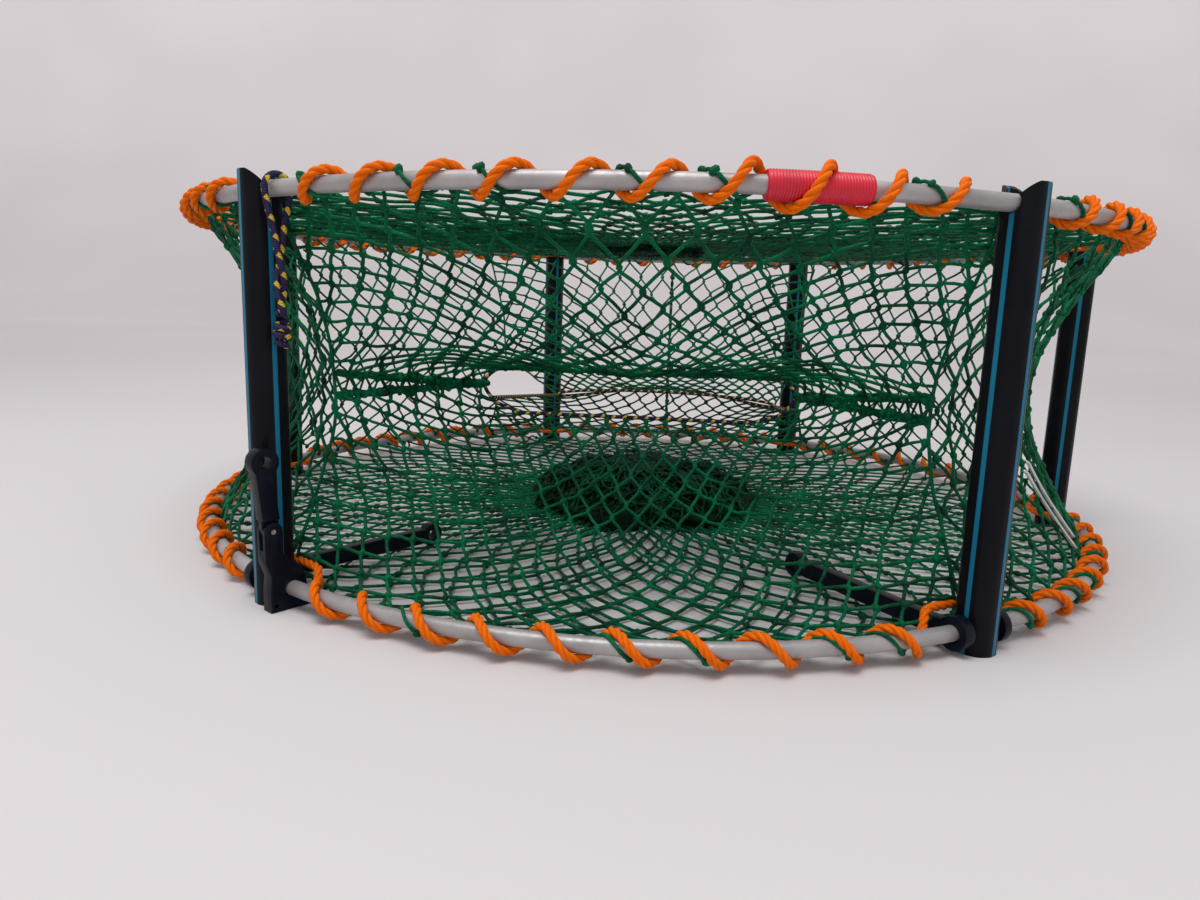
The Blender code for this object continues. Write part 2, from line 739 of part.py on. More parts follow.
def make_levers():
    """Arms with an eye round the bottom rod that lie inward, and the stop plate beside the right one."""
    lean = math.degrees(math.asin(LEVER_WIDTH / 2 / EYE_RADIUS))
    head_lean = math.degrees(math.asin(LEVER_WIDTH / 2 / LEVER_HEAD_RADIUS))
    outline = arc(0, 0, EYE_RADIUS, -180 + lean, 180 - lean, 14)
    outline += arc(-LEVER_LENGTH, 0, LEVER_HEAD_RADIUS, head_lean, 360 - head_lean, 10)
    outlines = [outline, circle(0, 0, BORE), circle(-LEVER_LENGTH, 0, EYELET_RADIUS, 12)]
    lever = prism("lever", outlines, LEVER_THICK, -FITTING_OFFSET - LEVER_THICK / 2)
    for name, strut in (("lever_left", "strut_front_left"), ("lever_right", "strut_front_right")):
        add(name, lever, "black_moulding", ring_frame(STRUTS[strut], LOW))
    small_hole = circle(0.002, -0.0081, TIE_HOLE, 8)
    plate_outlines = [circle(0, 0, EYE_RADIUS, 20), circle(0, 0, BORE), small_hole]
    plate = prism("stop_plate", plate_outlines, STOP_THICK, FITTING_OFFSET + STOP_THICK / 2)
    add("stop_plate", plate, "black_moulding", ring_frame(STRUTS["strut_front_right"], LOW))


def clasp_points(shift):
    """A wire on the outside of the wall net, with a short hook at its top."""
    seat = NET_THICK / 2 + GAP + CLASP_WIRE / 2 + 0.0010
    span = CLASP_TOP - CLASP_FOOT
    points = []
    for step in range(7):
        share = step / 6
        azimuth = CLASP_FOOT_AZIMUTH + (CLASP_TOP_AZIMUTH - CLASP_FOOT_AZIMUTH) * share
        azimuth -= math.degrees(shift / RING_RADIUS)
        height = LOW + CLASP_FOOT + span * share - 0.4 * shift
        points.append(on_ring(azimuth, wall_radius(height) - RING_RADIUS + seat, height))
    turn = math.radians(azimuth - 90)
    sideways = Vector((math.sin(turn), -math.cos(turn), 0))
    tip = points[-1] + (points[-1] - points[-2]).normalized() * CLASP_HOOK
    points += [tip, tip + sideways * CLASP_HOOK]
    return points


def make_clasp():
    for name, shift in (("clasp_wire_fixed", 0.0), ("clasp_wire_swing", CLASP_SPREAD)):
        tube(name, clasp_points(shift), CLASP_WIRE, "bright_wire")


def make_loop():
    """A rope loop over the top rod, and the knot below that closes it."""
    radius = (ROD_RADIUS + GAP + LOOP_ROPE / 2) / math.cos(math.pi / 8)
    frame = ring_frame(STRUTS["strut_front_left"], HIGH, LOOP_OFFSET)
    neck = 0.0027
    side = [(neck, -LOOP_DROP), (neck + 0.001, -LOOP_DROP * 0.75), (radius * 0.8, -LOOP_DROP * 0.35)]
    over = arc(0, 0, radius, 0, 180, 4)
    route = side + over + [(-x, z) for x, z in reversed(side)]
    tube("loop_rope", [(x, 0, z) for x, z in route], LOOP_ROPE, "navy_rope", matrix=frame)
    work = bmesh.new()
    bmesh.ops.create_uvsphere(work, u_segments=12, v_segments=8, radius=1.0)
    bmesh.ops.scale(work, vec=(KNOT_RADIUS, KNOT_RADIUS, KNOT_HALF_HEIGHT), verts=work.verts)
    mesh = bpy.data.meshes.new("loop_knot")
    work.to_mesh(mesh)
    work.free()
    smooth(mesh)
    inner = neck - LOOP_ROPE / 2
    below = -LOOP_DROP - KNOT_HALF_HEIGHT * math.sqrt(1 - (inner / KNOT_RADIUS) ** 2) - GAP
    add("loop_knot", mesh, "navy_rope", frame @ Matrix.Translation((0, 0, below)))


clear_scene()
make_rings()
make_struts()
make_lashings()
make_sleeve()
make_netting()
make_flat_nets()
make_latch()
make_levers()
make_clasp()
make_loop()
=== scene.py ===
"""Looks of a collapsible crab trap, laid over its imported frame."""

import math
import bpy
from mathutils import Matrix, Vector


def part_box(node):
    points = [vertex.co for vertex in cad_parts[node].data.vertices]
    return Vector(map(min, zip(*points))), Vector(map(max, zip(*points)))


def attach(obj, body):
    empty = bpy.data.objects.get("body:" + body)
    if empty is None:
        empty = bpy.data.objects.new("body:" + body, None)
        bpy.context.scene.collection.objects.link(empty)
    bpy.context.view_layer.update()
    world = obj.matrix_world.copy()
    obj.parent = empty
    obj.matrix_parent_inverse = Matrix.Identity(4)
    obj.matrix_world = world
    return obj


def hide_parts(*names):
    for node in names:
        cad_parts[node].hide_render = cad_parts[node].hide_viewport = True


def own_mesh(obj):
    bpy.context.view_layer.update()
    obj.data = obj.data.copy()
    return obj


bl_info = {
    "name": "Collapsible Crab Trap",
    "version": (1, 0, 0),
    "blender": (4, 5, 0),
    "location": "View3D > Sidebar > Crab Trap",
    "description": "Rod rings, pipe struts, knotted netting, rope and moulded fittings of a crab trap",
    "category": "Add Mesh",
}

import bpy
import numpy as np
from bpy.props import FloatProperty, FloatVectorProperty, IntProperty, PointerProperty
from mathutils import Matrix, Vector, noise

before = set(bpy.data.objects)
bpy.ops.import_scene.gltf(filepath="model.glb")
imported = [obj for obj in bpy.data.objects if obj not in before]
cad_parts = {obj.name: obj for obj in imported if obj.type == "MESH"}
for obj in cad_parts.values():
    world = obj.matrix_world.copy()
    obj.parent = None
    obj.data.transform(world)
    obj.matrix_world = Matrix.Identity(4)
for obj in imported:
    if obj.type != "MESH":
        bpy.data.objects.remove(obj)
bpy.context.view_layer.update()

# The twine's unevenness is the same at every run
noise.seed_set(1)

# Rings, read from the frame
ring_low, ring_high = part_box("bottom_ring")
top_low, top_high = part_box("top_ring")
ROD_RADIUS = (ring_high.z - ring_low.z) / 2
RING_RADIUS = ring_high.x - ROD_RADIUS
LOW = (ring_high.z + ring_low.z) / 2
HIGH = (top_high.z + top_low.z) / 2
SPACING = HIGH - LOW

# Struts, by their azimuth: 0 is the front, and it grows towards the right
STRUTS = {
    "strut_front_left": -37.0,
    "strut_front_right": 31.0,
    "strut_right": 88.0,
    "strut_back_right": 150.0,
    "strut_back_left": 200.0,
    "strut_left": 260.5,
}
STRIPE_PHASES = (-5.0, 8.0, -12.0, 30.0, 5.0, 15.0)
PIPE_RADIUS = 0.0125
PIPE_WALL = 0.0023
PIPE_FOOT = LOW
PIPE_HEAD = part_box("strut_right")[1].z - HIGH
PIPE_SIDES = 64
HOLE_RADIUS = ROD_RADIUS + 0.0009
HOLE_SIDES = 40
MOUTH_HALF = 0.0115
NECK_HALF = 0.0042

# Lashing: it starts and ends a run away from a strut, and passes it on its inner side
GAP = 0.0003
TURN_PITCH = 5.6
POINTS_PER_TURN = 28
POINT_STEP = 0.0019
PLAIN_RUN = 3.3
FITTED_RUN = 5.2
FITTED_HOLD = 3.7
FITTED_LIFT = 0.0099
FITTED = (STRUTS["strut_front_left"], STRUTS["strut_front_right"])
ROPE_END = 0.12

# Sleeve
SLEEVE_START = 8.0
SLEEVE_END = 16.0
SLEEVE_RADIUS = 0.008
SLEEVE_RIBS = 34
SLEEVE_RIB = 0.00035

# Netting
WALL_EDGE = 0.016
TIED_EDGE = 0.003
TIED_REACH = -0.0066
TIED_WITHIN = 2.9
FREE_BEYOND = 5.6
WAIST_DEPTH = 0.045
WAIST_AT_STRUT = 0.78
WAIST_FREED = 0.22
NET_EDGE = RING_RADIUS - PIPE_RADIUS - 0.0014
TOP_NET_RADIUS = RING_RADIUS - 0.0215
FLOOR_NET_RADIUS = RING_RADIUS - 0.0140
NET_FLOOR = 0.0030
HUB_RADIUS = 0.026
SIDE_LEAN = 0.82
SIDE_FULLER = 0.9
MOUTH_NARROW = 0.44
BACK_EDGE_DRAWN = 4.5
BACK_EDGE_LOW = 0.045
BACK_EDGE_TALL = 0.075
KNOT_RUN = 0.0024
KNOT_GAP = 0.0006
KNOT_SIZE = 2.0
LUMP_SIZE = 2.2
UNEVEN = 0.0016
SLACK = 0.0012

# Bands of the laced strips, and heaps of gathered netting
STRIP_BANDS = 4
STRIP_STEP = 0.0012
STRIP_UNEVEN = 0.0026
LUMP_UNEVEN = 0.0036
SEAM_TURNS = 11
HEAP_ROWS = 12
HEAP_FOOT = 0.0012
HEAP_TOP = 0.0015
HEAP_CRUMPLE = 0.28
CORE_WIDE = 1.04
CORE_TALL = 0.80

# Funnel mouths
MOUTH_REACH = 0.147
MOUTH_HALF_WIDTH = 0.1265
MOUTH_ROPE = 0.0032
RIM_POINTS = 48
BACK_FUNNEL_START = 146.0
BACK_FUNNEL_END = 214.0

# Clasp
CLASP_WIRE = 0.0025
CLASP_SEAT = 0.00355
CLASP_TOP_AZIMUTH = 54.5
CLASP_FOOT_AZIMUTH = 59.0
CLASP_TOP = 0.076
CLASP_FOOT = 0.022
CLASP_SPREAD = 0.013
CLASP_HOOK = 0.005

# Rope loop beside the front left strut: twisted at its foot, and open at its top
LOOP_ROPE = 0.004
LOOP_OFFSET = 0.020
LOOP_DROP = 0.075
LOOP_TWIST = 300.0
LOOP_TWISTED = 0.62
LOOP_OPENS = 0.55
LOOP_KNOT_TURNS = 3.1
LOOP_KNOT_REACH = 0.0038
LOOP_KNOT_HALF = 0.0073

# Camera, fitted to the two rings
CAMERA_PLACE = (0.0, -0.8309, 0.2007)
CAMERA_RIGHT = (0.9978, 0.05832, 0.03143)
CAMERA_UP = (-0.04114, 0.17361, 0.98395)
CAMERA_LENS = 25.285
CAMERA_SENSOR = 36.0


def metres(name, description, default):
    return FloatProperty(name=name, description=description, default=default, unit="LENGTH")


def tint(name, description, default):
    return FloatVectorProperty(name=name, description=description, default=default, subtype="COLOR")


class NettingSettings(bpy.types.PropertyGroup):
    twine: metres("Twine", "Diameter of the twine", 0.0023)
    bar: metres("Bar", "Length of twine between two knots", 0.0222)
    colour: tint("Twine colour", "Colour of the twine", (0.0, 0.098, 0.038))


class RopeSettings(bpy.types.PropertyGroup):
    lashing: metres("Lashing", "Diameter of the laid rope on the rings", 0.0060)
    lay: metres("Lay length", "Length of one full twist of the strands", 0.019)
    lashing_colour: tint("Lashing colour", "Colour of the laid rope", (1.0, 0.17, 0.0))
    navy: tint("Braid colour", "Ground of the braid", (0.016, 0.012, 0.05))
    yellow: tint("Fleck colour", "Flecks of the braid", (0.80, 0.55, 0.04))


class FrameSettings(bpy.types.PropertyGroup):
    rod_colour: tint("Rod colour", "Zinc on the rings", (0.41, 0.39, 0.39))
    pipe_colour: tint("Pipe colour", "Ground of the pipes", (0.0035, 0.004, 0.006))
    stripe_colour: tint("Stripe colour", "Stripes along the pipes", (0.01, 0.186, 0.32))
    stripe: metres("Stripe", "Width of a stripe", 0.0029)
    sleeve_colour: tint("Sleeve colour", "Ribbed sleeve", (0.70, 0.012, 0.04))
    edge_radius: metres("Edge radius", "Rounded edges of the mouldings", 0.0007)


class StageSettings(bpy.types.PropertyGroup):
    floor_colour: tint("Floor colour", "Floor and backdrop", (0.65, 0.617, 0.626))
    lamp_power: FloatProperty(
        name="Lamp power", description="Power of the large lamp", default=42.0, unit="POWER"
    )
    sky_strength: FloatProperty(name="Sky", description="Strength of the even light", default=0.62)
    floor_size: IntProperty(name="Floor size", description="Side of the floor in metres", default=12)


class Value:
    """A shader socket that Python's operators work on."""

    def __init__(self, tree, socket):
        self.tree = tree
        self.socket = socket

    def math(self, operation, *others, clamp=False):
        made = self.tree.nodes.new("ShaderNodeMath")
        made.operation = operation
        made.use_clamp = clamp
        for target, value in zip(made.inputs, (self, *others)):
            connect(self.tree, target, value)
        return Value(self.tree, made.outputs[0])

    def __add__(self, other):
        return self.math("ADD", other)

    def __sub__(self, other):
        return self.math("SUBTRACT", other)

    def __mul__(self, other):
        return self.math("MULTIPLY", other)

    def sine(self):
        return self.math("SINE")


def connect(tree, target, value):
    """Links a value to a socket, or sets the socket to a plain number or colour."""
    if isinstance(value, Value):
        tree.links.new(value.socket, target)
    elif target.type == "RGBA" and len(value) == 3:
        target.default_value = (*value, 1.0)
    else:
        target.default_value = value


class Finish:
    """One material and its nodes."""

    def __init__(self, name, **shader):
        self.material = bpy.data.materials.new(name)
        self.material.use_nodes = True
        self.tree = self.material.node_tree
        self.shader = self.tree.nodes["Principled BSDF"]
        self.set(**shader)

    def set(self, **shader):
        for name, value in shader.items():
            title = name.replace("_", " ").title().replace("Ior", "IOR")
            connect(self.tree, self.shader.inputs[title], value)

    def node(self, kind, inputs=None, output=0, **settings):
        made = self.tree.nodes.new("ShaderNode" + kind)
        for name, value in settings.items():
            setattr(made, name, value)
        for name, value in (inputs or {}).items():
            connect(self.tree, made.inputs[name], value)
        return Value(self.tree, made.outputs[output])

    def place(self):
        return self.node("TexCoord", output="Object")

    def parts(self, vector):
        split = self.tree.nodes.new("ShaderNodeSeparateXYZ")
        connect(self.tree, split.inputs[0], vector)
        return [Value(self.tree, socket) for socket in split.outputs]

    def along(self):
        """Metres along a rope or twine, and the share of the way round it."""
        return self.parts(self.node("UVMap"))[:2]

    def join(self, x, y, z=0.0):
        return self.node("CombineXYZ", {0: x, 1: y, 2: z})

    def noise(self, scale, vector=None, detail=3.0):
        sockets = {"Scale": scale, "Detail": detail, "Roughness": 0.55, "Vector": vector or self.place()}
        return self.node("TexNoise", sockets)

    def ramp(self, share, low, high):
        """From 0 at low to 1 at high."""
        return ((share - low) * (1.0 / (high - low))).math("ADD", 0.0, clamp=True)

    def mix(self, share, first, second):
        return self.node("Mix", {"Factor": share, 6: first, 7: second}, output=2, data_type="RGBA")

    def blend(self, share, low, high, first, second):
        """The first colour below low, and the second above high."""
        return self.mix(self.ramp(share, low, high), first, second)

    def bump(self, height, distance, strength=1.0):
        sockets = {"Height": height, "Distance": distance, "Strength": strength}
        self.set(normal=self.node("Bump", sockets))


def shade(colour, factor):
    return tuple(min(1.0, channel * factor) for channel in colour)


def twine_finish(colour, name="green_twine"):
    """Green tarred twine with a fine lay."""
    finish = Finish(name, roughness=0.5, specular_ior_level=0.1)
    patches = finish.noise(35.0)
    along, around = finish.along()
    lay = ((along * 900.0 + around * math.tau) * 2.0).sine() * 0.5 + 0.5
    tone = finish.blend(patches, 0.35, 0.65, shade(colour, 0.4), shade(colour, 1.8))
    finish.set(base_color=finish.mix(lay * 0.35, tone, shade(colour, 0.4)))
    finish.set(roughness=patches * 0.25 + 0.40)
    finish.bump(lay, 0.0003, 0.6)
    return finish.material


def heap_shade_finish(colour):
    """Painted shade inside a heap: a near-black twine colour, painted darker still in its folds."""
    finish = Finish("heap_painted_shade", roughness=0.8, specular_ior_level=0.1)
    folds = finish.noise(90.0, detail=5.0)
    finish.set(base_color=finish.blend(folds, 0.35, 0.65, shade(colour, 0.35), colour))
    finish.bump(folds, 0.003)
    return finish.material


def laid_rope_finish(colour):
    """Strands of fine orange fibre."""
    finish = Finish("orange_rope", roughness=0.6, specular_ior_level=0.12)
    along, around = finish.along()
    fibres = finish.noise(1.0, finish.join(along * 160.0, around * 22.0 + along * 700.0), 2.0)
    patches = finish.noise(60.0)
    tone = finish.blend(fibres, 0.3, 0.7, shade(colour, 0.66), shade(colour, 1.12))
    finish.set(base_color=finish.mix(finish.ramp(patches, 0.45, 0.75) * 0.35, tone, shade(colour, 0.75)))
    finish.set(roughness=fibres * 0.3 + 0.42)
    finish.bump(fibres, 0.0004, 0.8)
    return finish.material


def braid_finish(ground, fleck, thick):
    """A plaited cord: dark ground with flecks on every second strand."""
    finish = Finish("braided_cord", roughness=0.65, specular_ior_level=0.2)
    along, around = finish.along()
    turns = along * (1.0 / (thick * 2.8))

    def waves(twist, round_it):
        return (turns * twist + around * round_it) * math.tau

    rising = waves(1.0, 1.0).sine()
    falling = waves(1.0, -1.0).sine()
    flecks = finish.ramp(rising, 0.45, 0.62) * finish.ramp(falling, -0.45, -0.20)
    weave = waves(4.0, 2.0).sine() * waves(4.0, -2.0).sine()
    fibres = finish.noise(900.0, detail=2.0)
    dark = finish.blend(fibres, 0.3, 0.7, shade(ground, 0.6), shade(ground, 1.9))
    light = finish.blend(fibres, 0.3, 0.7, shade(fleck, 0.65), fleck)
    finish.set(base_color=finish.mix(flecks, dark, light))
    finish.bump(weave, 0.0004, 0.7)
    return finish.material


def zinc_finish(name, colour, metallic, roughness):
    """Galvanised steel with dull spangle and a few stained spots."""
    finish = Finish(name, metallic=metallic)
    spangle = finish.node("TexVoronoi", {"Vector": finish.place(), "Scale": 220.0}, output="Distance")
    clouds = finish.noise(28.0)
    grain = finish.noise(420.0, detail=4.0)
    tone = finish.blend(clouds, 0.35, 0.70, shade(colour, 0.80), shade(colour, 1.18))
    spots = finish.ramp(finish.noise(75.0, detail=4.0), 0.66, 0.74)
    finish.set(base_color=finish.mix(spots * 0.45, tone, (0.25, 0.19, 0.16)))
    finish.set(roughness=spangle * 0.18 + clouds * 0.16 + (roughness - 0.14))
    finish.bump(grain + spangle, 0.0003, 0.35)
    return finish.material


def pipe_finish(name, azimuth, phase, settings):
    """Black water pipe with four blue stripes along it."""
    finish = Finish(name, specular_ior_level=0.1)
    middle = Vector(ring_point(azimuth, 0.0, 0.0))
    x, y, z = finish.parts(finish.place())
    turn = (y - middle.y).math("ARCTAN2", x - middle.x)
    edge = math.cos(4 * settings.stripe / 2 / PIPE_RADIUS)
    wave = ((turn - math.radians(azimuth + phase)) * 4.0).math("COSINE")
    stripes = finish.ramp(wave, edge - 0.02, edge + 0.02)
    scuffs = finish.noise(1.0, finish.join(x * 260.0, y * 260.0, z * 14.0), 4.0)
    dust = finish.noise(30.0, detail=4.0)
    black, blue = settings.pipe_colour, settings.stripe_colour
    ground = finish.mix(finish.ramp(dust, 0.4, 0.8) * 0.5, black, shade(black, 2.6))
    stripe = finish.blend(scuffs, 0.3, 0.7, shade(blue, 0.8), blue)
    finish.set(base_color=finish.mix(stripes, ground, stripe), roughness=scuffs * 0.22 + 0.24)
    finish.bump(scuffs, 0.0002, 0.4)
    return finish.material


def moulding_finish(colour):
    """Tough black plastic with a fine moulded grain."""
    finish = Finish("black_moulding", specular_ior_level=0.12)
    marks = finish.noise(90.0, detail=4.0)
    finish.set(base_color=finish.blend(marks, 0.5, 0.8, colour, shade(colour, 2.2)))
    finish.set(roughness=marks * 0.25 + 0.22)
    finish.bump(finish.noise(900.0, detail=2.0), 0.0001, 0.5)
    return finish.material


def sleeve_finish(colour):
    """Red lay-flat tube with fine crosswise ribs."""
    finish = Finish("red_sleeve")
    grain = finish.noise(500.0)
    finish.set(base_color=finish.blend(finish.noise(70.0), 0.4, 0.7, colour, shade(colour, 0.78)))
    finish.set(roughness=grain * 0.2 + 0.30)
    finish.bump(grain, 0.0002, 0.4)
    return finish.material


def shares(count):
    """From 0 to 1 in equal steps."""
    return [step / count for step in range(count + 1)]


def ease(share):
    """From 0 to 1 with a slow start and a slow end."""
    share = min(1.0, max(0.0, share))
    return share * share * (3 - 2 * share)


def cells(length, size):
    return max(2, round(length / size))


def polar(radius, turn, height=0.0):
    return (radius * math.cos(turn), radius * math.sin(turn), height)


def ring_point(azimuth, outward, height):
    """A point at an azimuth, measured outward from the ring's rod and up from the standing surface."""
    return polar(RING_RADIUS + outward, math.radians(azimuth - 90), height)


def ring_frame(azimuth, height, along=0.0):
    """The frame of a strut or fitting: on the ring's rod, x outward, y along the ring, z up."""
    turn = Matrix.Rotation(math.radians(azimuth - 90), 4, "Z")
    return Matrix.Translation((0, 0, height)) @ turn @ Matrix.Translation((RING_RADIUS, along, 0))


def bays():
    """The two struts of each bay, and where the lashing starts and ends between them."""
    struts = sorted(STRUTS.values())
    for first, last in zip([struts[-1] - 360, *struts], struts):
        start = first + (FITTED_RUN if first in FITTED else PLAIN_RUN)
        end = last - (FITTED_RUN if last in FITTED else PLAIN_RUN)
        yield first, last, start, end


def deselect():
    bpy.ops.object.select_all(action="DESELECT")


def only(piece):
    deselect()
    bpy.context.view_layer.objects.active = piece
    piece.select_set(True)


def added(name, data):
    """A new object in the scene."""
    made = bpy.data.objects.new(name, data)
    bpy.context.scene.collection.objects.link(made)
    return made


def bevel(piece, width, segments, angle):
    """Rounds the edges that turn by more than an angle."""
    modifier = piece.modifiers.new("edges", "BEVEL")
    modifier.width = width
    modifier.segments = segments
    modifier.limit_method = "ANGLE"
    modifier.angle_limit = math.radians(angle)
    only(piece)
    bpy.ops.object.modifier_apply(modifier=modifier.name)


def dress(piece, body, node):
    """A piece that rides on a body in place of a node, which is hidden."""
    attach(piece, body)
    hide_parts(node)


def soft(piece, node):
    """A piece that rides on the frame in place of a node, with a mesh of its own."""
    dress(piece, "frame", node)
    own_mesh(piece)


def normals_along(points, closed=False):
    """Two unit normals at each point of a line, which don't twist along it."""
    if closed:
        ahead = np.roll(points, -1, axis=0) - np.roll(points, 1, axis=0)
    else:
        ahead = np.gradient(points, axis=0)
    tangents = ahead / np.linalg.norm(ahead, axis=1)[:, None]
    start = np.cross(tangents[0], (0.0, 0.0, 1.0))
    if np.linalg.norm(start) < 0.1:
        start = np.cross(tangents[0], (1.0, 0.0, 0.0))
    normals = np.empty_like(points)
    normals[0] = start / np.linalg.norm(start)
    for index in range(1, len(points)):
        carried = normals[index - 1] - tangents[index] * (normals[index - 1] @ tangents[index])
        normals[index] = carried / np.linalg.norm(carried)
    return normals, np.cross(tangents, normals)


def lengths_along(points):
    return np.concatenate([[0.0], np.cumsum(np.linalg.norm(np.diff(points, axis=0), axis=1))])


def sweep(points, radius, sides, closed=False):
    """A tube along a line of points: its corners, its faces, and the metres and turn of each face's corners.

    The radius is one number, or one for each point.
    """
    points = np.asarray(points, float)
    count = len(points)
    first, second = normals_along(points, closed)
    turn = 2 * np.pi * np.arange(sides) / sides
    spread = first[:, None] * np.cos(turn)[None, :, None] + second[:, None] * np.sin(turn)[None, :, None]
    thick = np.broadcast_to(radius, count)[:, None, None]
    corners = (points[:, None] + spread * thick).reshape(-1, 3)
    gone = list(lengths_along(points))
    gone.append(gone[-1] + np.linalg.norm(points[0] - points[-1]))
    faces = []
    maps = []
    for ring in range(count if closed else count - 1):
        here, after = ring * sides, (ring + 1) % count * sides
        start, end = gone[ring : ring + 2]
        for side in range(sides):
            beside = (side + 1) % sides
            faces.append((here + side, here + beside, after + beside, after + side))
            low, high = side / sides, (side + 1) / sides
            maps += [(start, low), (start, high), (end, high), (end, low)]
    if not closed:
        faces += [tuple(range(sides))[::-1], tuple(range((count - 1) * sides, count * sides))]
        maps += [(end, side / sides) for end in (0.0, gone[-2]) for side in range(sides)]
    return corners, faces, maps


def build(name, tubes, surface):
    """One object out of many swept or copied forms."""
    faces = []
    maps = []
    offset = 0
    for corners, own_faces, own_maps in tubes:
        faces += [tuple(corner + offset for corner in face) for face in own_faces]
        maps += own_maps
        offset += len(corners)
    mesh = bpy.data.meshes.new(name)
    mesh.from_pydata(np.concatenate([tube[0] for tube in tubes]).tolist(), [], faces)
    layer = mesh.uv_layers.new(name="UVMap")
    layer.data.foreach_set("uv", np.asarray(maps, np.float32).ravel())
    mesh.materials.append(surface)
    mesh.shade_smooth()
    mesh.validate()
    return added(name, mesh)


def knot_form():
    """The corners and faces of a lump of twine with few faces, one unit in radius."""
    bpy.ops.mesh.primitive_uv_sphere_add(segments=6, ring_count=4, radius=1.0)
    lump = bpy.context.object
    corners = np.array([vert.co for vert in lump.data.vertices])
    corners[:, 2] *= 1.35
    faces = [tuple(face.vertices) for face in lump.data.polygons]
    bpy.data.objects.remove(lump)
    return corners, faces


def knots(places, radius, downs=None):
    """Lumps at the crossings, each sized its own way and lying along its own direction if that is given."""
    random = np.random.default_rng(len(places))
    made = []
    corners, faces = knot_form()
    maps = [(0.0005 * corner, 0.1 * corner) for face in faces for corner in range(len(face))]
    for index, place in enumerate(places):
        turn = Matrix.Rotation(random.uniform(0, 2 * np.pi), 3, "Z")
        if downs is None:
            turn = turn @ Matrix.Rotation(random.uniform(0, 2 * np.pi), 3, "X")
        else:
            tilt = Vector(random.uniform(-0.3, 0.3, 3))
            turn = (Vector(downs[index]).normalized() + tilt).to_track_quat("Z", "Y").to_matrix() @ turn
        size = radius * random.uniform(0.85, 1.2)
        made.append((corners @ np.array(turn).T * size + np.asarray(place), faces, maps))
    return made


def wander(point, reach, scale=38.0):
    """Small uneven shift, the same at the same place."""
    return np.asarray(point) + np.array(noise.noise_vector(Vector(point) * scale)) * reach


def mesh_of(width, length, bar, lean=0.0001, fuller=0.0, narrow=0.0):
    """Strands and knots of a knotted sheet, as shares of the way across and down it.

    The two families of strands cross evenly in the middle. Towards the sides they lean by up to lean
    radians, until one runs nearly along the sheet's edge and the other nearly down. The sides are longer by
    the share fuller, and the far edge is shorter by the share narrow.
    """
    half = width / 2
    bend = lean / half
    count = round(1.5 * (width + length * (1 + fuller)) / bar)
    first, second = np.meshgrid(np.arange(-count, count + 1), np.arange(-count, count + 1), indexing="ij")
    start = math.sqrt(0.5) / bend
    x = (math.pi / 4 - np.arctan2(second * bar + start, first * bar + start)) / bend
    y = np.hypot(first * bar + start, second * bar + start) - 1 / bend

    def share(x, y):
        down = y / (length * (1 + fuller * np.minimum(1.0, abs(x) / half) ** 2))
        return 0.5 + x / (width * (1 - narrow * np.clip(down, 0, 1))), down

    def edge(kept, beyond):
        """The last place on the sheet from a knot on it towards one off it."""
        low, high = 0.0, 1.0
        for _ in range(9):
            middle = (low + high) / 2
            u, v = share(*(kept + (beyond - kept) * middle))
            if 0 <= u <= 1 and 0 <= v <= 1:
                low = middle
            else:
                high = middle
        return kept + (beyond - kept) * low

    across, down = share(x, y)
    inside = (across >= 0) & (across <= 1) & (down >= 0) & (down <= 1)
    spots = np.stack([x, y], axis=-1)
    strands = []
    for grid, kept in ((spots, inside), (spots.swapaxes(0, 1), inside.T)):
        for row in range(len(grid)):
            for column in range(1, len(grid) - 1):
                if not kept[row, column]:
                    continue
                spot, before, after = grid[row, column], grid[row, column - 1], grid[row, column + 1]
                if not kept[row, column - 1]:
                    run = [edge(spot, before)]
                run.append(spot)
                if not kept[row, column + 1]:
                    run.append(edge(spot, after))
                    strands.append([np.array(share(*place)) for place in run])
    return strands, [np.array(share(*spot)) for spot in spots[inside]]


def round_mesh(columns, rows):
    """Strands and knots of a closed sheet, as shares of the way round it and across it."""
    strands = []
    for slope in (0.5, -0.5):
        for column in range(columns):
            turns = [(column + slope * row) / columns for row in range(rows + 1)]
            strands.append([np.array(spot) for spot in zip(turns, shares(rows))])
    return strands, [spot for strand in strands[:columns] for spot in strand]


def hang(strands, knots_at, place, size=None, reach=UNEVEN, slack=SLACK):
    """The strands, the knots and the knots' directions in space.

    Each bar has a little slack. On a sheet whose width and length are given, the two strands of a knot run
    side by side through it, and level strands run straight on.
    """

    def beside(ahead):
        """Half of the run through a knot, as shares across and down the sheet."""
        if size is None:
            return np.zeros(2)
        pinch = np.divide((KNOT_GAP, KNOT_RUN), size)
        level, steep = abs(ahead) / pinch * (KNOT_GAP, KNOT_RUN)
        return np.sign(ahead) * pinch * (1.0, min(1.0, 1.4 * steep / max(1e-9, math.hypot(level, steep))))

    hung = []
    for strand in strands:
        line = []
        last = len(strand) - 1
        for index, spot in enumerate(strand):
            if 0 < index < last:
                run = beside(strand[index + 1] - strand[index - 1])
                line += [wander(place(*(spot - run)), reach), wander(place(*(spot + run)), reach)]
            else:
                line.append(wander(place(*spot), reach))
            if index < last:
                middle = place(*((spot + strand[index + 1]) / 2))
                line.append(wander(wander(middle, reach), slack, 170.0))
        hung.append(line)
    spots = [wander(place(*spot), reach) for spot in knots_at]
    downs = []
    for u, v in knots_at:
        lower = min(1.0, v + 0.02)
        downs.append(np.subtract(place(u, lower), place(u, lower - 0.02)))
    return hung, spots, downs


def edges(place):
    """A strand along each side of a sheet, which its other strands end on."""
    return [[wander(place(side, share), UNEVEN) for share in shares(30)] for side in (0.0, 1.0)]


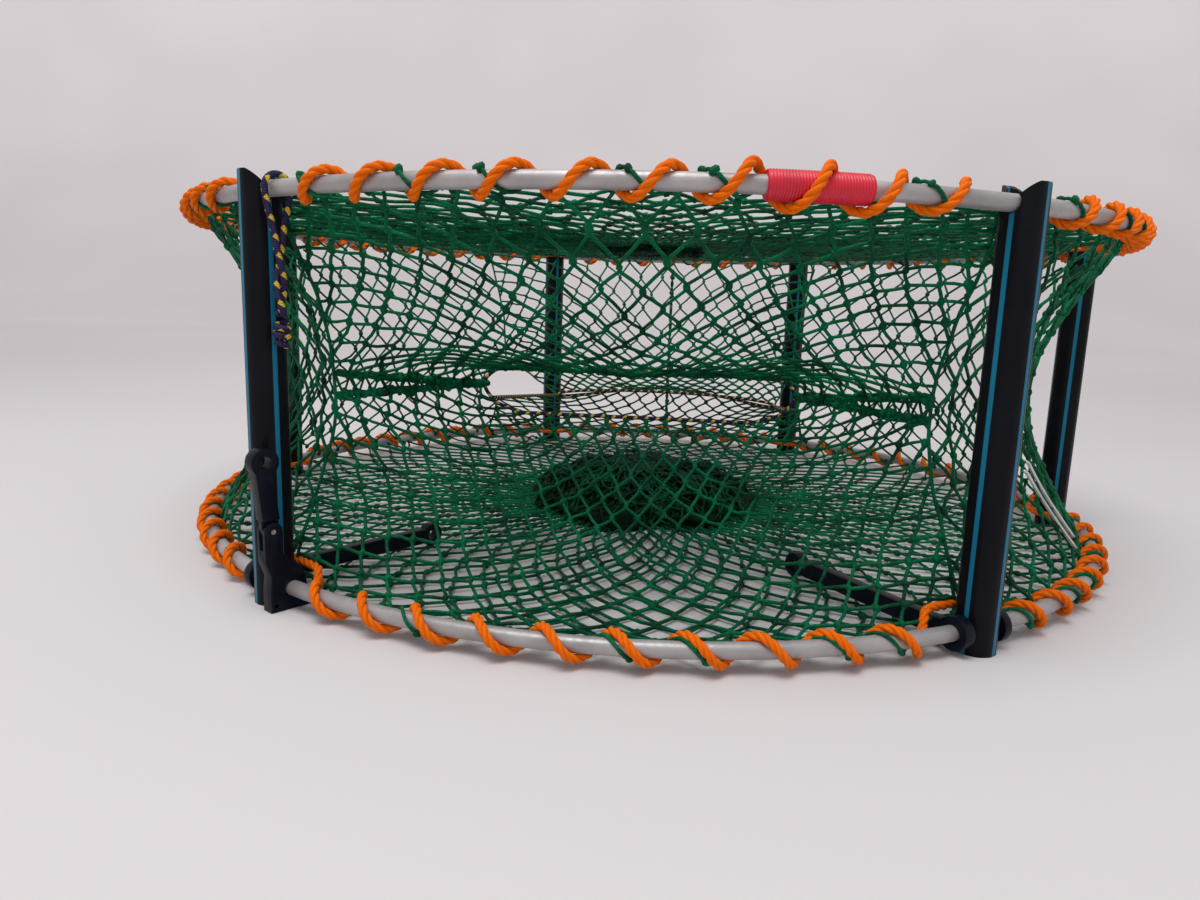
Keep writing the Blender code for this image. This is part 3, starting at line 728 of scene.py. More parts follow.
def net(name, strands, places, downs, settings, surface, sides=6):
    radius = settings.twine / 2
    tubes = [sweep(strand, radius, sides) for strand in strands]
    return build(name, tubes + knots(places, radius * KNOT_SIZE, downs), surface)


def clear_of_struts(azimuth):
    """From none beside a strut to 1 in the open part of a bay."""
    away = min(abs((azimuth - strut + 180) % 360 - 180) for strut in STRUTS.values())
    return ease((away - TIED_WITHIN) / (FREE_BEYOND - TIED_WITHIN))


def wall_radius(height, depth=WAIST_DEPTH):
    """The wall net is tied at both rings and drawn in between them."""
    share = (height - LOW - WALL_EDGE) / (SPACING - 2 * WALL_EDGE)
    return NET_EDGE - depth * math.sin(math.pi * min(1.0, max(0.0, share)))


def wall_point(azimuth, height):
    """A point of the wall net, whose edges rise to the rods between the struts."""
    free = clear_of_struts(azimuth)
    edge = WALL_EDGE * (1 - free) + TIED_EDGE * free
    near = min(height - LOW, HIGH - height)
    if near < 2 * WALL_EDGE:
        moved = edge + (2 * WALL_EDGE - edge) * max(0.0, near) / (2 * WALL_EDGE)
        height = LOW + moved if height - LOW < HIGH - height else HIGH - moved
        near = moved
    outward = wall_radius(height, WAIST_DEPTH * (WAIST_AT_STRUT + WAIST_FREED * free)) - RING_RADIUS
    if near < WALL_EDGE:
        outward = TIED_REACH + (outward - TIED_REACH) * near / WALL_EDGE
    return ring_point(azimuth, outward, height)


class Funnel:
    """A bay of the wall that is drawn inward to a mouth with a rope rim.

    Knees and lengths are those of the lower and the upper net. A net falls from its ring to its knee, and
    runs inward from there to the rim, which gives a point's way outward and height.
    """

    def __init__(self, start, end, azimuth, knees, lengths, rim):
        self.start = start
        self.end = end
        self.knees = [LOW + knee for knee in knees]
        self.lengths = lengths
        self.rim = rim
        turn = math.radians(azimuth - 90)
        self.outward = Vector(polar(1, turn))
        self.along = Vector((-math.sin(turn), math.cos(turn), 0))

    def mouth(self, share, upper):
        """A point of the rim, share from -1 to 1 along it."""
        out, height = self.rim(share, upper)
        base = self.outward * (MOUTH_REACH + out) + self.along * (share * MOUTH_HALF_WIDTH)
        return Vector((base.x, base.y, LOW + height))

    def panel(self, upper):
        """The place of a point of the upper or lower net: u across the bay, v from ring to mouth."""
        edge = HIGH if upper else LOW
        knee = self.knees[upper]

        def place(u, v):
            v = min(1.0, max(0.0, v))
            side = abs(2 * u - 1) ** 3
            middle = (1 - min(1.0, abs(2 * u - 1))) ** 1.2
            fall = 1 - (1 - v) ** (1.15 + 2.6 * middle) if upper else v ** (1 + 1.3 * middle)
            drop = side * min(1.0, 2 * v) + (1 - side) * fall
            reach = side * max(0.0, 2 * v - 1) + (1 - side) * v
            height = edge + (knee - edge) * drop
            wall = Vector(wall_point(self.start + (self.end - self.start) * u, height))
            lip = self.mouth(2 * u - 1, upper)
            spot = wall.lerp(lip, reach)
            spot.z = height + (lip.z - knee) * reach
            return spot

        return place

    def side(self, side):
        """The two laced lines from the wall to the end of the mouth, low and high."""
        azimuth = self.end if side > 0 else self.start
        lines = []
        for upper in (False, True):
            wall = Vector(wall_point(azimuth, self.knees[upper]))
            lines.append([wall.lerp(self.mouth(side, upper), share) for share in shares(24)])
        return lines

    def rope(self):
        """The line of the rim's rope, once round the mouth."""
        points = []
        for step in range(2 * RIM_POINTS):
            angle = math.pi * (step + 0.5) / RIM_POINTS
            share = math.copysign(abs(math.cos(angle)) ** 0.8, math.cos(angle))
            points.append(self.mouth(share, angle < math.pi))
        return points


def front_rim(share, upper):
    """Two nearly level lips joined by upright ends."""
    middle, half, rise, sag = 0.116, 0.012, 0.003, 0.011
    bow = 1 - share * share
    end = half * min(1.0, 6 * bow) ** 0.5
    if upper:
        return 0.0, middle + end + rise * bow
    return 0.0, middle - end - sag * min(1.0, 2.2 * bow)


def back_rim(share, upper):
    """The upper lip arches up, the lower lip lies further out."""
    corner, arch, out, dip, rise = 0.0745, 0.0095, 0.045, 0.008, 0.010
    bow = 1 - share * share
    if upper:
        return 0.0, corner + arch * math.sqrt(bow)
    return out * bow, corner - dip * math.sqrt(bow) * abs(share) + rise * bow


FRONT = Funnel(*FITTED, -3.0, knees=(0.118, 0.133), lengths=(0.27, 0.29), rim=front_rim)
BACK = Funnel(
    BACK_FUNNEL_START, BACK_FUNNEL_END, 172.0, knees=(0.050, 0.110), lengths=(0.16, 0.29), rim=back_rim
)


class CRABTRAP_OT_rings(bpy.types.Operator):
    """Makes the two rod rings"""

    bl_idname = "crabtrap.rings"
    bl_label = "Rings"

    def execute(self, context):
        surface = zinc_finish("galvanised_rod", context.scene.crab_frame.rod_colour, 0.4, 0.42)
        for node, body, height in (("bottom_ring", "frame", LOW), ("top_ring", "top", HIGH)):
            deselect()
            bpy.ops.mesh.primitive_torus_add(
                major_segments=288,
                minor_segments=24,
                major_radius=RING_RADIUS,
                minor_radius=ROD_RADIUS,
                location=(0, 0, height),
            )
            ring = context.object
            ring.name = node + "_rod"
            bpy.ops.object.transform_apply()
            bpy.ops.object.shade_smooth()
            ring.data.materials.append(surface)
            dress(ring, body, node)
        return {"FINISHED"}


class CRABTRAP_OT_struts(bpy.types.Operator):
    """Makes the six pipe struts with their drilled holes and V mouths"""

    bl_idname = "crabtrap.struts"
    bl_label = "Struts"

    def cylinder(self, radius, depth, height, sides=PIPE_SIDES, turn=0.0):
        deselect()
        bpy.ops.mesh.primitive_cylinder_add(
            vertices=sides, radius=radius, depth=depth, location=(0, 0, height), rotation=(turn, 0, 0)
        )
        bpy.ops.object.transform_apply()
        return bpy.context.object

    def wedge(self):
        """The cutter of the V mouth: a flat prism that widens upward from the hole's neck."""
        deselect()
        bpy.ops.mesh.primitive_cube_add(size=1.0)
        cutter = bpy.context.object
        neck = math.sqrt(HOLE_RADIUS**2 - NECK_HALF**2)
        high = SPACING + PIPE_HEAD + 0.002
        slope = (MOUTH_HALF - NECK_HALF) / (PIPE_HEAD - neck)
        wide = NECK_HALF + slope * (high - SPACING - neck)
        for vert in cutter.data.vertices:
            above = vert.co.z > 0
            vert.co.x = math.copysign(wide if above else NECK_HALF, vert.co.x)
            vert.co.y *= PIPE_RADIUS * 3
            vert.co.z = high if above else SPACING + neck * 0.9
        return cutter

    def cut(self, body, cutter):
        modifier = body.modifiers.new("cut", "BOOLEAN")
        modifier.operation = "DIFFERENCE"
        modifier.object = cutter
        only(body)
        bpy.ops.object.modifier_apply(modifier=modifier.name)
        bpy.data.objects.remove(cutter)

    def execute(self, context):
        length = PIPE_FOOT + SPACING + PIPE_HEAD
        middle = length / 2 - PIPE_FOOT
        pipe = self.cylinder(PIPE_RADIUS, length, middle)
        self.cut(pipe, self.cylinder(PIPE_RADIUS - PIPE_WALL, length * 1.2, middle))
        for height in (0, SPACING):
            self.cut(pipe, self.cylinder(HOLE_RADIUS, PIPE_RADIUS * 3, height, HOLE_SIDES, math.pi / 2))
        self.cut(pipe, self.wedge())
        bevel(pipe, 0.0003, 2, 50)
        bpy.ops.object.shade_smooth_by_angle(angle=math.radians(30))
        for (node, azimuth), phase in zip(STRUTS.items(), STRIPE_PHASES):
            name = node + "_pipe"
            mesh = pipe.data.copy()
            mesh.transform(ring_frame(azimuth, LOW))
            mesh.materials.append(pipe_finish(name, azimuth, phase, context.scene.crab_frame))
            dress(added(name, mesh), node, node)
        bpy.data.objects.remove(pipe)
        return {"FINISHED"}


class CRABTRAP_OT_lashings(bpy.types.Operator):
    """Winds the laid rope round both rings"""

    bl_idname = "crabtrap.lashings"
    bl_label = "Lashings"

    def bulge(self, azimuth):
        """From none to 1 where the rope passes over the sleeve."""
        distance = max(0.0, SLEEVE_START - azimuth, azimuth - SLEEVE_END)
        return ease(1.0 - (distance - 1.0) / 2.0)

    def route(self, rope_radius, height, handed, lift, over_sleeve):
        """The rope's middle line, from one side of the left strut round the ring to the other."""
        wound = ROD_RADIUS + GAP + rope_radius
        over = SLEEVE_RADIUS + GAP + rope_radius
        inside = PIPE_RADIUS + GAP + rope_radius + 0.0009

        def passing(strut, side):
            away = side * (FITTED_HOLD if strut in FITTED else PLAIN_RUN / 2)
            return ring_point(strut + away, -inside, height + (lift if strut in FITTED else 0.0))

        points = [ring_point(STRUTS["strut_left"] - 360 + ROPE_END, -inside, height)]
        for first, last, start, end in bays():
            points.append(passing(first, 1))
            turns = cells(end - start, TURN_PITCH)
            for share in shares(turns * POINTS_PER_TURN):
                azimuth = start + (end - start) * share
                angle = math.pi + handed * math.tau * turns * share
                radius = wound + (over - wound) * (self.bulge(azimuth) if over_sleeve else 0.0)
                level = height + radius * math.sin(angle)
                points.append(ring_point(azimuth, radius * math.cos(angle), level))
            points.append(passing(last, -1))
        points.append(ring_point(STRUTS["strut_left"] - ROPE_END, -inside, height))
        return self.even(np.array(points))

    def even(self, points):
        """The same line with evenly spaced points and no sharp turns."""
        gone = lengths_along(points)
        wanted = np.linspace(0, gone[-1], round(gone[-1] / POINT_STEP))
        line = np.stack([np.interp(wanted, gone, points[:, axis]) for axis in range(3)], axis=1)
        for _ in range(3):
            line[1:-1] = (line[:-2] + 2 * line[1:-1] + line[2:]) / 4
        return line

    def strands(self, line, rope_radius, lay):
        """Three round strands twisted round the line."""
        strand = rope_radius * 0.51
        first, second = normals_along(line)
        gone = lengths_along(line)
        made = []
        for index in range(3):
            turn = 2 * np.pi * (gone / lay + index / 3)
            shift = first * np.cos(turn)[:, None] + second * np.sin(turn)[:, None]
            made.append(sweep(line + shift * (rope_radius - strand), strand, 9))
        return made

    def execute(self, context):
        settings = context.scene.crab_rope
        surface = laid_rope_finish(settings.lashing_colour)
        radius = settings.lashing / 2
        for node, body, height, handed, lift, over_sleeve in (
            ("bottom_lashing", "frame", LOW, -1, FITTED_LIFT, False),
            ("top_lashing", "top", HIGH, 1, 0.0, True),
        ):
            line = self.route(radius, height, handed, lift, over_sleeve)
            rope = build(node + "_rope", self.strands(line, radius, settings.lay), surface)
            dress(rope, body, node)
        return {"FINISHED"}


class CRABTRAP_OT_sleeve(bpy.types.Operator):
    """Makes the ribbed sleeve on the top ring"""

    bl_idname = "crabtrap.sleeve"
    bl_label = "Sleeve"

    def execute(self, context):
        points = 4 * SLEEVE_RIBS + 1
        line = [ring_point(azimuth, 0, HIGH) for azimuth in np.linspace(SLEEVE_START, SLEEVE_END, points)]
        radii = SLEEVE_RADIUS - SLEEVE_RIB + SLEEVE_RIB * np.cos(np.arange(points) * np.pi / 2)
        radii[0] = radii[-1] = SLEEVE_RADIUS - 2.5 * SLEEVE_RIB
        surface = sleeve_finish(context.scene.crab_frame.sleeve_colour)
        sleeve = build("ring_sleeve_tube", [sweep(line, radii, 48)], surface)
        dress(sleeve, "top", "ring_sleeve")
        return {"FINISHED"}


class CRABTRAP_OT_walls(bpy.types.Operator):
    """Knots the two wall nets between the struts"""

    bl_idname = "crabtrap.walls"
    bl_label = "Wall nets"

    def execute(self, context):
        settings = context.scene.crab_net
        surface = twine_finish(settings.colour)
        for node, start, end, aside in (
            ("wall_net_right", STRUTS["strut_front_right"], BACK_FUNNEL_START, -1),
            ("wall_net_left", BACK_FUNNEL_END, STRUTS["strut_front_left"] + 360, 1),
        ):
            span = math.radians(end - start) * NET_EDGE

            def place(u, v):
                """The net, whose back edge is drawn aside at half height, clear of the back mouth."""
                away = (1 - u if aside > 0 else u) ** 4
                free = math.sin(math.pi * min(1.0, max(0.0, (SPACING * v - BACK_EDGE_LOW) / BACK_EDGE_TALL)))
                drawn = aside * BACK_EDGE_DRAWN * away * free
                return wall_point(start + (end - start) * u + drawn, LOW + SPACING * v)

            strands, spots, downs = hang(*mesh_of(span, SPACING, settings.bar), place, (span, SPACING))
            wall = net(node + "_twine", strands + edges(place), spots, downs, settings, surface)
            soft(wall, node)
        return {"FINISHED"}


class CRABTRAP_OT_funnels(bpy.types.Operator):
    """Knots the upper and lower nets of both funnels and the laced strips beside the front mouth"""

    bl_idname = "crabtrap.funnels"
    bl_label = "Funnel nets"

    def execute(self, context):
        settings = context.scene.crab_net
        surface = bpy.data.materials["green_twine"]
        for side, funnel in (("front", FRONT), ("back", BACK)):
            span = math.radians(funnel.end - funnel.start) * NET_EDGE
            for level, upper in (("upper", True), ("lower", False)):
                name = f"{side}_{level}"
                length = funnel.lengths[upper]
                place = funnel.panel(upper)
                sheet = mesh_of(span, length, settings.bar, SIDE_LEAN, SIDE_FULLER, MOUTH_NARROW)
                strands, spots, downs = hang(*sheet, place, (span, length))
                piece = net(name + "_twine", strands + edges(place), spots, downs, settings, surface)
                soft(piece, name + "_net")
        for node, side in (("front_strip_left", -1), ("front_strip_right", 1)):
            tubes = self.strip(side, settings.twine / 2)
            soft(build(node + "_lacing", tubes, surface), node)
        return {"FINISHED"}

    def strip(self, side, radius):
        """Bands of bunched twine with lumps along both lines, and twine to and fro between them."""
        low, high = FRONT.side(side)
        tubes = []
        lumps = []
        for line in (low, high):
            for index in range(STRIP_BANDS):
                shift = Vector((0, 0, STRIP_STEP * (index - (STRIP_BANDS - 1) / 2)))
                beside = [wander(point + shift, STRIP_UNEVEN, 60.0 + 25.0 * index) for point in line]
                tubes.append(sweep(beside, radius, 6))
            lumps += [wander(point, LUMP_UNEVEN, 150.0) for point in line[1:-1]]
            lumps += [wander(point, LUMP_UNEVEN, 250.0) for point in line[3:-1:3]]
        across = [wander(low[step] if step % 2 else high[step], 0.001) for step in range(len(low))]
        tubes.append(sweep(across, radius, 6))
        for share in (0.0, 0.35, 0.7, 1.0):
            end = low[-1].lerp(high[-1], share)
            lumps += [wander(end, 0.003, 90.0 + 300.0 * share)] * 2
        return tubes + knots(lumps, radius * LUMP_SIZE)


class CRABTRAP_OT_round_nets(bpy.types.Operator):
    """Knots the top net and the floor net, drawn together at their middles"""

    bl_idname = "crabtrap.round_nets"
    bl_label = "Top and floor net"

    def rows(self, outer, bar):
        """Radii of the rows: as a mesh narrows towards the middle it grows longer."""
        radii = [outer]
        while radii[-1] > HUB_RADIUS:
            half = bar * math.sqrt(0.5) * radii[-1] / outer
            radii.append(radii[-1] - math.sqrt(bar * bar - half * half))
        return radii

    def execute(self, context):
        settings = context.scene.crab_net
        surface = bpy.data.materials["green_twine"]
        for node, body, outer, base, edge, sag in (
            ("top_net", "top", TOP_NET_RADIUS, HIGH - 0.001, HIGH + 0.001, -0.007),
            ("floor_net", "frame", FLOOR_NET_RADIUS, 0.0027, LOW - 0.003, 0.0),
        ):
            radii = self.rows(outer, settings.bar)
            columns = cells(math.tau * outer, settings.bar * math.sqrt(2))
            last = len(radii) - 1

            def place(u, v):
                """The net's rows, with its rim drawn to the rod between the struts."""
                radius = float(np.interp(v * last, range(last + 1), radii))
                drop = sag * (1 - (radius / outer) ** 2)
                tied = clear_of_struts(360 * u + 90) * max(0.0, 1 - v * last / 1.6)
                radius += (RING_RADIUS + TIED_REACH - outer) * tied
                height = base + drop + (edge - base) * tied
                return polar(radius, math.tau * u, height)

            size = (math.tau * outer, outer - HUB_RADIUS)
            lines, places, downs = hang(*round_mesh(columns, last), place, size, reach=0.0022)
            for point in (*places, *(point for line in lines for point in line)):
                point[2] = max(point[2], NET_FLOOR)
            flat = net(node + "_twine", lines, places, downs, settings, surface, sides=5)
            dress(flat, body, node)
        return {"FINISHED"}


class CRABTRAP_OT_gathers(bpy.types.Operator):
    """Heaps the gathered netting at the middle of the floor and of the top"""

    bl_idname = "crabtrap.gathers"
    bl_label = "Gathered netting"

    def layer(self, radius, thick, base, depth, seed):
        """One crumpled layer of a heap."""

        def place(u, v):
            turn = math.tau * u
            away = 0.06 + 0.94 * v
            swell = 0.82 + 0.18 * noise.noise(Vector(polar(2, turn, seed)))
            reach = radius * away * swell
            dome = math.sqrt(max(0.0, 1 - away * away))
            spot = Vector(polar(reach, turn, thick * (1 - depth) * dome))
            spot += Vector(noise.noise_vector(spot * 55 + Vector((seed, 0, 0)))) * thick * HEAP_CRUMPLE
            spot.z = base + min(thick - HEAP_TOP, max(HEAP_FOOT, spot.z))
            return spot

        return place

    def core(self, name, radius, base, thick, surface):
        """A dark core inside a heap: painted shade for the shade where many layers of twine lie on each
        other.
        """
        deselect()
        bpy.ops.mesh.primitive_uv_sphere_add(segments=64, ring_count=32, radius=1.0)
        core = bpy.context.object
        core.name = name
        for vert in core.data.vertices:
            swell = 0.80 + 0.16 * noise.noise(vert.co * 2.2)
            fold = 0.05 * noise.noise(vert.co * 9.0)
            spot = vert.co * (swell + fold)
            tall = thick * (CORE_TALL if spot.z > 0 else 0.0)
            wide = radius * CORE_WIDE
            vert.co = (spot.x * wide, spot.y * wide, base + HEAP_FOOT + tall * spot.z)
        bpy.ops.object.shade_smooth()
        core.data.materials.append(surface)
        return core

    def execute(self, context):
        settings = context.scene.crab_net
        # The heap's twine is the green twine at 0.4 of its colour: painted shade for the shade within the
        # heap
        surface = twine_finish(shade(settings.colour, 0.4), "shaded_twine")
        for node, body, layers, columns, swell in (
            ("floor_gather", "frame", 9, 34, 1.25),
            ("top_gather", "top", 5, 16, 1.0),
        ):
            low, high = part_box(node)
            radius = (high.x - low.x) / 2 * 0.97
            thick = (high.z - low.z) * swell
            strands = []
            places = []
            ways = []
            for index in range(layers):
                share = index / (layers - 1)
                place = self.layer(radius * (1 - 0.16 * share), thick, low.z, 0.75 * share, 3.7 * index)
                lines, spots, downs = hang(*round_mesh(columns, HEAP_ROWS), place, reach=0.0, slack=0.0)
                strands += lines
                places += spots
                ways += downs
            heap = net(node + "_twine", strands, places, ways, settings, surface, sides=5)
            # The core's near-black green, 0.16 of the twine colour, is painted shade for the shade deep in
            # the heap
            inside = heap_shade_finish(shade(settings.colour, 0.16))
            for piece in (heap, self.core(node + "_core", radius, low.z, thick, inside)):
                dress(piece, body, node)
        return {"FINISHED"}


class CRABTRAP_OT_hangers(bpy.types.Operator):
    """Loops the net's edges over the rods between the turns of the lashing"""

    bl_idname = "crabtrap.hangers"
    bl_label = "Net edges"

    def loop(self, azimuth, height, up, lean):
        """From the flat net over the rod to the wall net, leaning like the lashing."""
        radius = ROD_RADIUS + 0.0014
        points = []
        for share in shares(12):
            angle = math.radians(165 - 330 * share)
            turn = azimuth + lean * (share - 0.5)
            points.append(ring_point(turn, radius * math.cos(angle), height + up * radius * math.sin(angle)))
        return points

    def execute(self, context):
        surface = bpy.data.materials["green_twine"]
        radius = context.scene.crab_net.twine / 2
        for name, body, height, up, lean in (
            ("bottom_net_edge", "frame", LOW, -1, -4.4),
            ("top_net_edge", "top", HIGH, 1, 4.4),
        ):
            tubes = []
            lumps = []
            for first, _, start, end in bays():
                turns = cells(end - start, TURN_PITCH)
                for turn in range(turns):
                    # Each stands a little elsewhere between two turns, and every third is left out
                    share = 0.3 + 0.12 * math.sin(2.4 * turn + first)
                    azimuth = start + (end - start) * (turn + share) / turns
                    on_sleeve = SLEEVE_START - 1 < azimuth < SLEEVE_END + 1 and body == "top"
                    if on_sleeve or turn % 3 == 1:
                        continue
                    points = self.loop(azimuth, height, up, lean)
                    tubes.append(sweep(points, radius, 6))
                    lumps += [points[2], points[4], points[-1]]
            piece = build(name, tubes + knots(lumps, radius * 1.8), surface)
            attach(piece, body)
        return {"FINISHED"}


class CRABTRAP_OT_seam(bpy.types.Operator):
    """Laces the wall's seam at the back"""

    bl_idname = "crabtrap.seam"
    bl_label = "Seam"

    def execute(self, context):
        surface = bpy.data.materials["green_twine"]
        low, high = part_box("seam_cord")
        middle = (low + high) / 2
        radius = context.scene.crab_net.twine / 2
        tubes = []
        lumps = []
        for phase in (0.0, math.pi):
            line = []
            for share in shares(60):
                turn = phase + math.tau * SEAM_TURNS * share
                shift = Vector(polar(1, turn)) * radius * 1.1
                line.append(Vector((middle.x, middle.y, low.z + (high.z - low.z) * share)) + shift)
            tubes.append(sweep(line, radius, 6))
            lumps += line[3:-3:6]
        seam = build("seam_cord_lacing", tubes + knots(lumps, radius * LUMP_SIZE), surface)
        soft(seam, "seam_cord")
        return {"FINISHED"}


class CRABTRAP_OT_mouth_ropes(bpy.types.Operator):
    """Makes the rim ropes of both mouths and the ties between them"""

    bl_idname = "crabtrap.mouth_ropes"
    bl_label = "Mouth ropes"

    def execute(self, context):
        settings = context.scene.crab_rope
        surface = braid_finish(settings.navy, settings.yellow, MOUTH_ROPE)
        ropes = [("front_rim_rope", FRONT.rope(), True), ("back_rim_rope", BACK.rope(), True)]
        for node, front_side, back_side in (("tie_rope_left", -1, 1), ("tie_rope_right", 1, -1)):
            first = FRONT.mouth(0.95 * front_side, False)
            last = BACK.mouth(back_side, True)
            inset = (last - first).normalized() * MOUTH_ROPE * 0.7
            line = [(first + inset).lerp(last - inset, share) for share in shares(40)]
            ropes.append((node, line, False))
        for node, line, closed in ropes:
            rope = build(node + "_braid", [sweep(line, MOUTH_ROPE / 2, 12, closed)], surface)
            soft(rope, node)
        return {"FINISHED"}


class CRABTRAP_OT_loop(bpy.types.Operator):
    """Hangs the rope loop on the top ring"""

    bl_idname = "crabtrap.loop"
    bl_label = "Rope loop"

    def route(self):
        """Up from the knot, over the rod and down to the knot again."""
        radius = (ROD_RADIUS + GAP + LOOP_ROPE / 2) / math.cos(math.pi / 8)
        neck = LOOP_ROPE / 2 + 0.0001
        side = []
        for share in shares(40)[:-1]:
            reach = neck + (radius - neck) * ease((share - LOOP_OPENS) / (1 - LOOP_OPENS))
            turn = math.radians(LOOP_TWIST) * max(0.0, 1 - share / LOOP_TWISTED) ** 1.3
            side.append(Vector(polar(reach, turn, -LOOP_DROP * (1 - share))))
        over = [Vector((radius * math.cos(a), 0, radius * math.sin(a))) for a in np.linspace(0, math.pi, 13)]
        back = [Vector((-spot.x, -spot.y, spot.z)) for spot in reversed(side)]
        on_rod = ring_frame(STRUTS["strut_front_left"], HIGH, LOOP_OFFSET)
        return [on_rod @ spot for spot in side + over + back]

    def winding(self):
        """The knot's turns, round the middle of its solid."""
        low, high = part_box("loop_knot")
        middle = (low + high) / 2
        points = []
        for share in shares(72):
            turn = math.tau * LOOP_KNOT_TURNS * share
            reach = LOOP_KNOT_REACH * math.sin(math.pi * (0.08 + 0.84 * share)) ** 0.5
            height = middle.z + LOOP_KNOT_HALF * (1 - 2 * share)
            points.append((middle.x + reach * math.cos(turn), middle.y + reach * math.sin(turn), height))
        return points

    def execute(self, context):
        settings = context.scene.crab_rope
        surface = braid_finish(settings.navy, settings.yellow, LOOP_ROPE)
        line = self.route()
        rope = build("loop_rope_braid", [sweep(line, LOOP_ROPE / 2, 14)], surface)
        knot = build("loop_knot_braid", [sweep(self.winding(), LOOP_ROPE / 2, 14)], surface)
        dress(rope, "top", "loop_rope")
        dress(knot, "top", "loop_knot")
        return {"FINISHED"}


class CRABTRAP_OT_fittings(bpy.types.Operator):
    """Rounds the edges of the moulded fittings and finishes them"""

    bl_idname = "crabtrap.fittings"
    bl_label = "Moulded fittings"

    def execute(self, context):
        surface = moulding_finish((0.003, 0.005, 0.011))
        for node, body in (
            ("latch_base", "frame"),
            ("latch_arm", "latch_arm"),
            ("lever_left", "lever_left"),
            ("lever_right", "lever_right"),
            ("stop_plate", "frame"),
        ):
            mesh = bpy.data.objects[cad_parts[node].name].data.copy()
            mesh.materials.clear()
            piece = added(node + "_moulding", mesh)
            only(piece)
            bpy.ops.object.mode_set(mode="EDIT")
            bpy.ops.mesh.select_all(action="SELECT")
            bpy.ops.mesh.remove_doubles(threshold=0.00001)
            bpy.ops.mesh.dissolve_limited(angle_limit=math.radians(1))
            bpy.ops.object.mode_set(mode="OBJECT")
            bevel(piece, context.scene.crab_frame.edge_radius, 3, 35)
            bpy.ops.object.shade_smooth_by_angle(angle=math.radians(40))
            mesh.materials.append(surface)
            dress(piece, body, node)
        return {"FINISHED"}


class CRABTRAP_OT_wires(bpy.types.Operator):
    """Bends the wires of the clasp and finishes the latch pin"""

    bl_idname = "crabtrap.wires"
    bl_label = "Clasp wires"

    def line(self, shift):
        """Up along the wall net, and bent aside to a hook at the top."""
        points = []
        for share in shares(24):
            azimuth = CLASP_FOOT_AZIMUTH + (CLASP_TOP_AZIMUTH - CLASP_FOOT_AZIMUTH) * share
            azimuth -= math.degrees(shift / RING_RADIUS)
            height = LOW + CLASP_FOOT + (CLASP_TOP - CLASP_FOOT) * share - 0.4 * shift
            points.append(Vector(ring_point(azimuth, wall_radius(height) - RING_RADIUS + CLASP_SEAT, height)))
        turn = math.radians(azimuth - 90)
        sideways = Vector((math.sin(turn), -math.cos(turn), 0)) * CLASP_HOOK
        upward = (points[-1] - points[-2]).normalized() * CLASP_HOOK
        base = points[-1]
        for share in shares(6)[1:]:
            angle = math.pi / 2 * share
            points.append(base + upward * math.sin(angle) + sideways * (1 - math.cos(angle)))
        return points

    def execute(self, context):
        surface = zinc_finish("bright_wire", (0.62, 0.62, 0.63), 1.0, 0.32)
        for node, body, shift in (
            ("clasp_wire_fixed", "frame", 0.0),
            ("clasp_wire_swing", "clasp_wire", CLASP_SPREAD),
        ):
            wire = build(node + "_bent", [sweep(self.line(shift), CLASP_WIRE / 2, 14)], surface)
            dress(wire, body, node)
        pin = bpy.data.objects[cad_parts["latch_pin"].name]
        pin.data.materials.clear()
        pin.data.materials.append(surface)
        return {"FINISHED"}


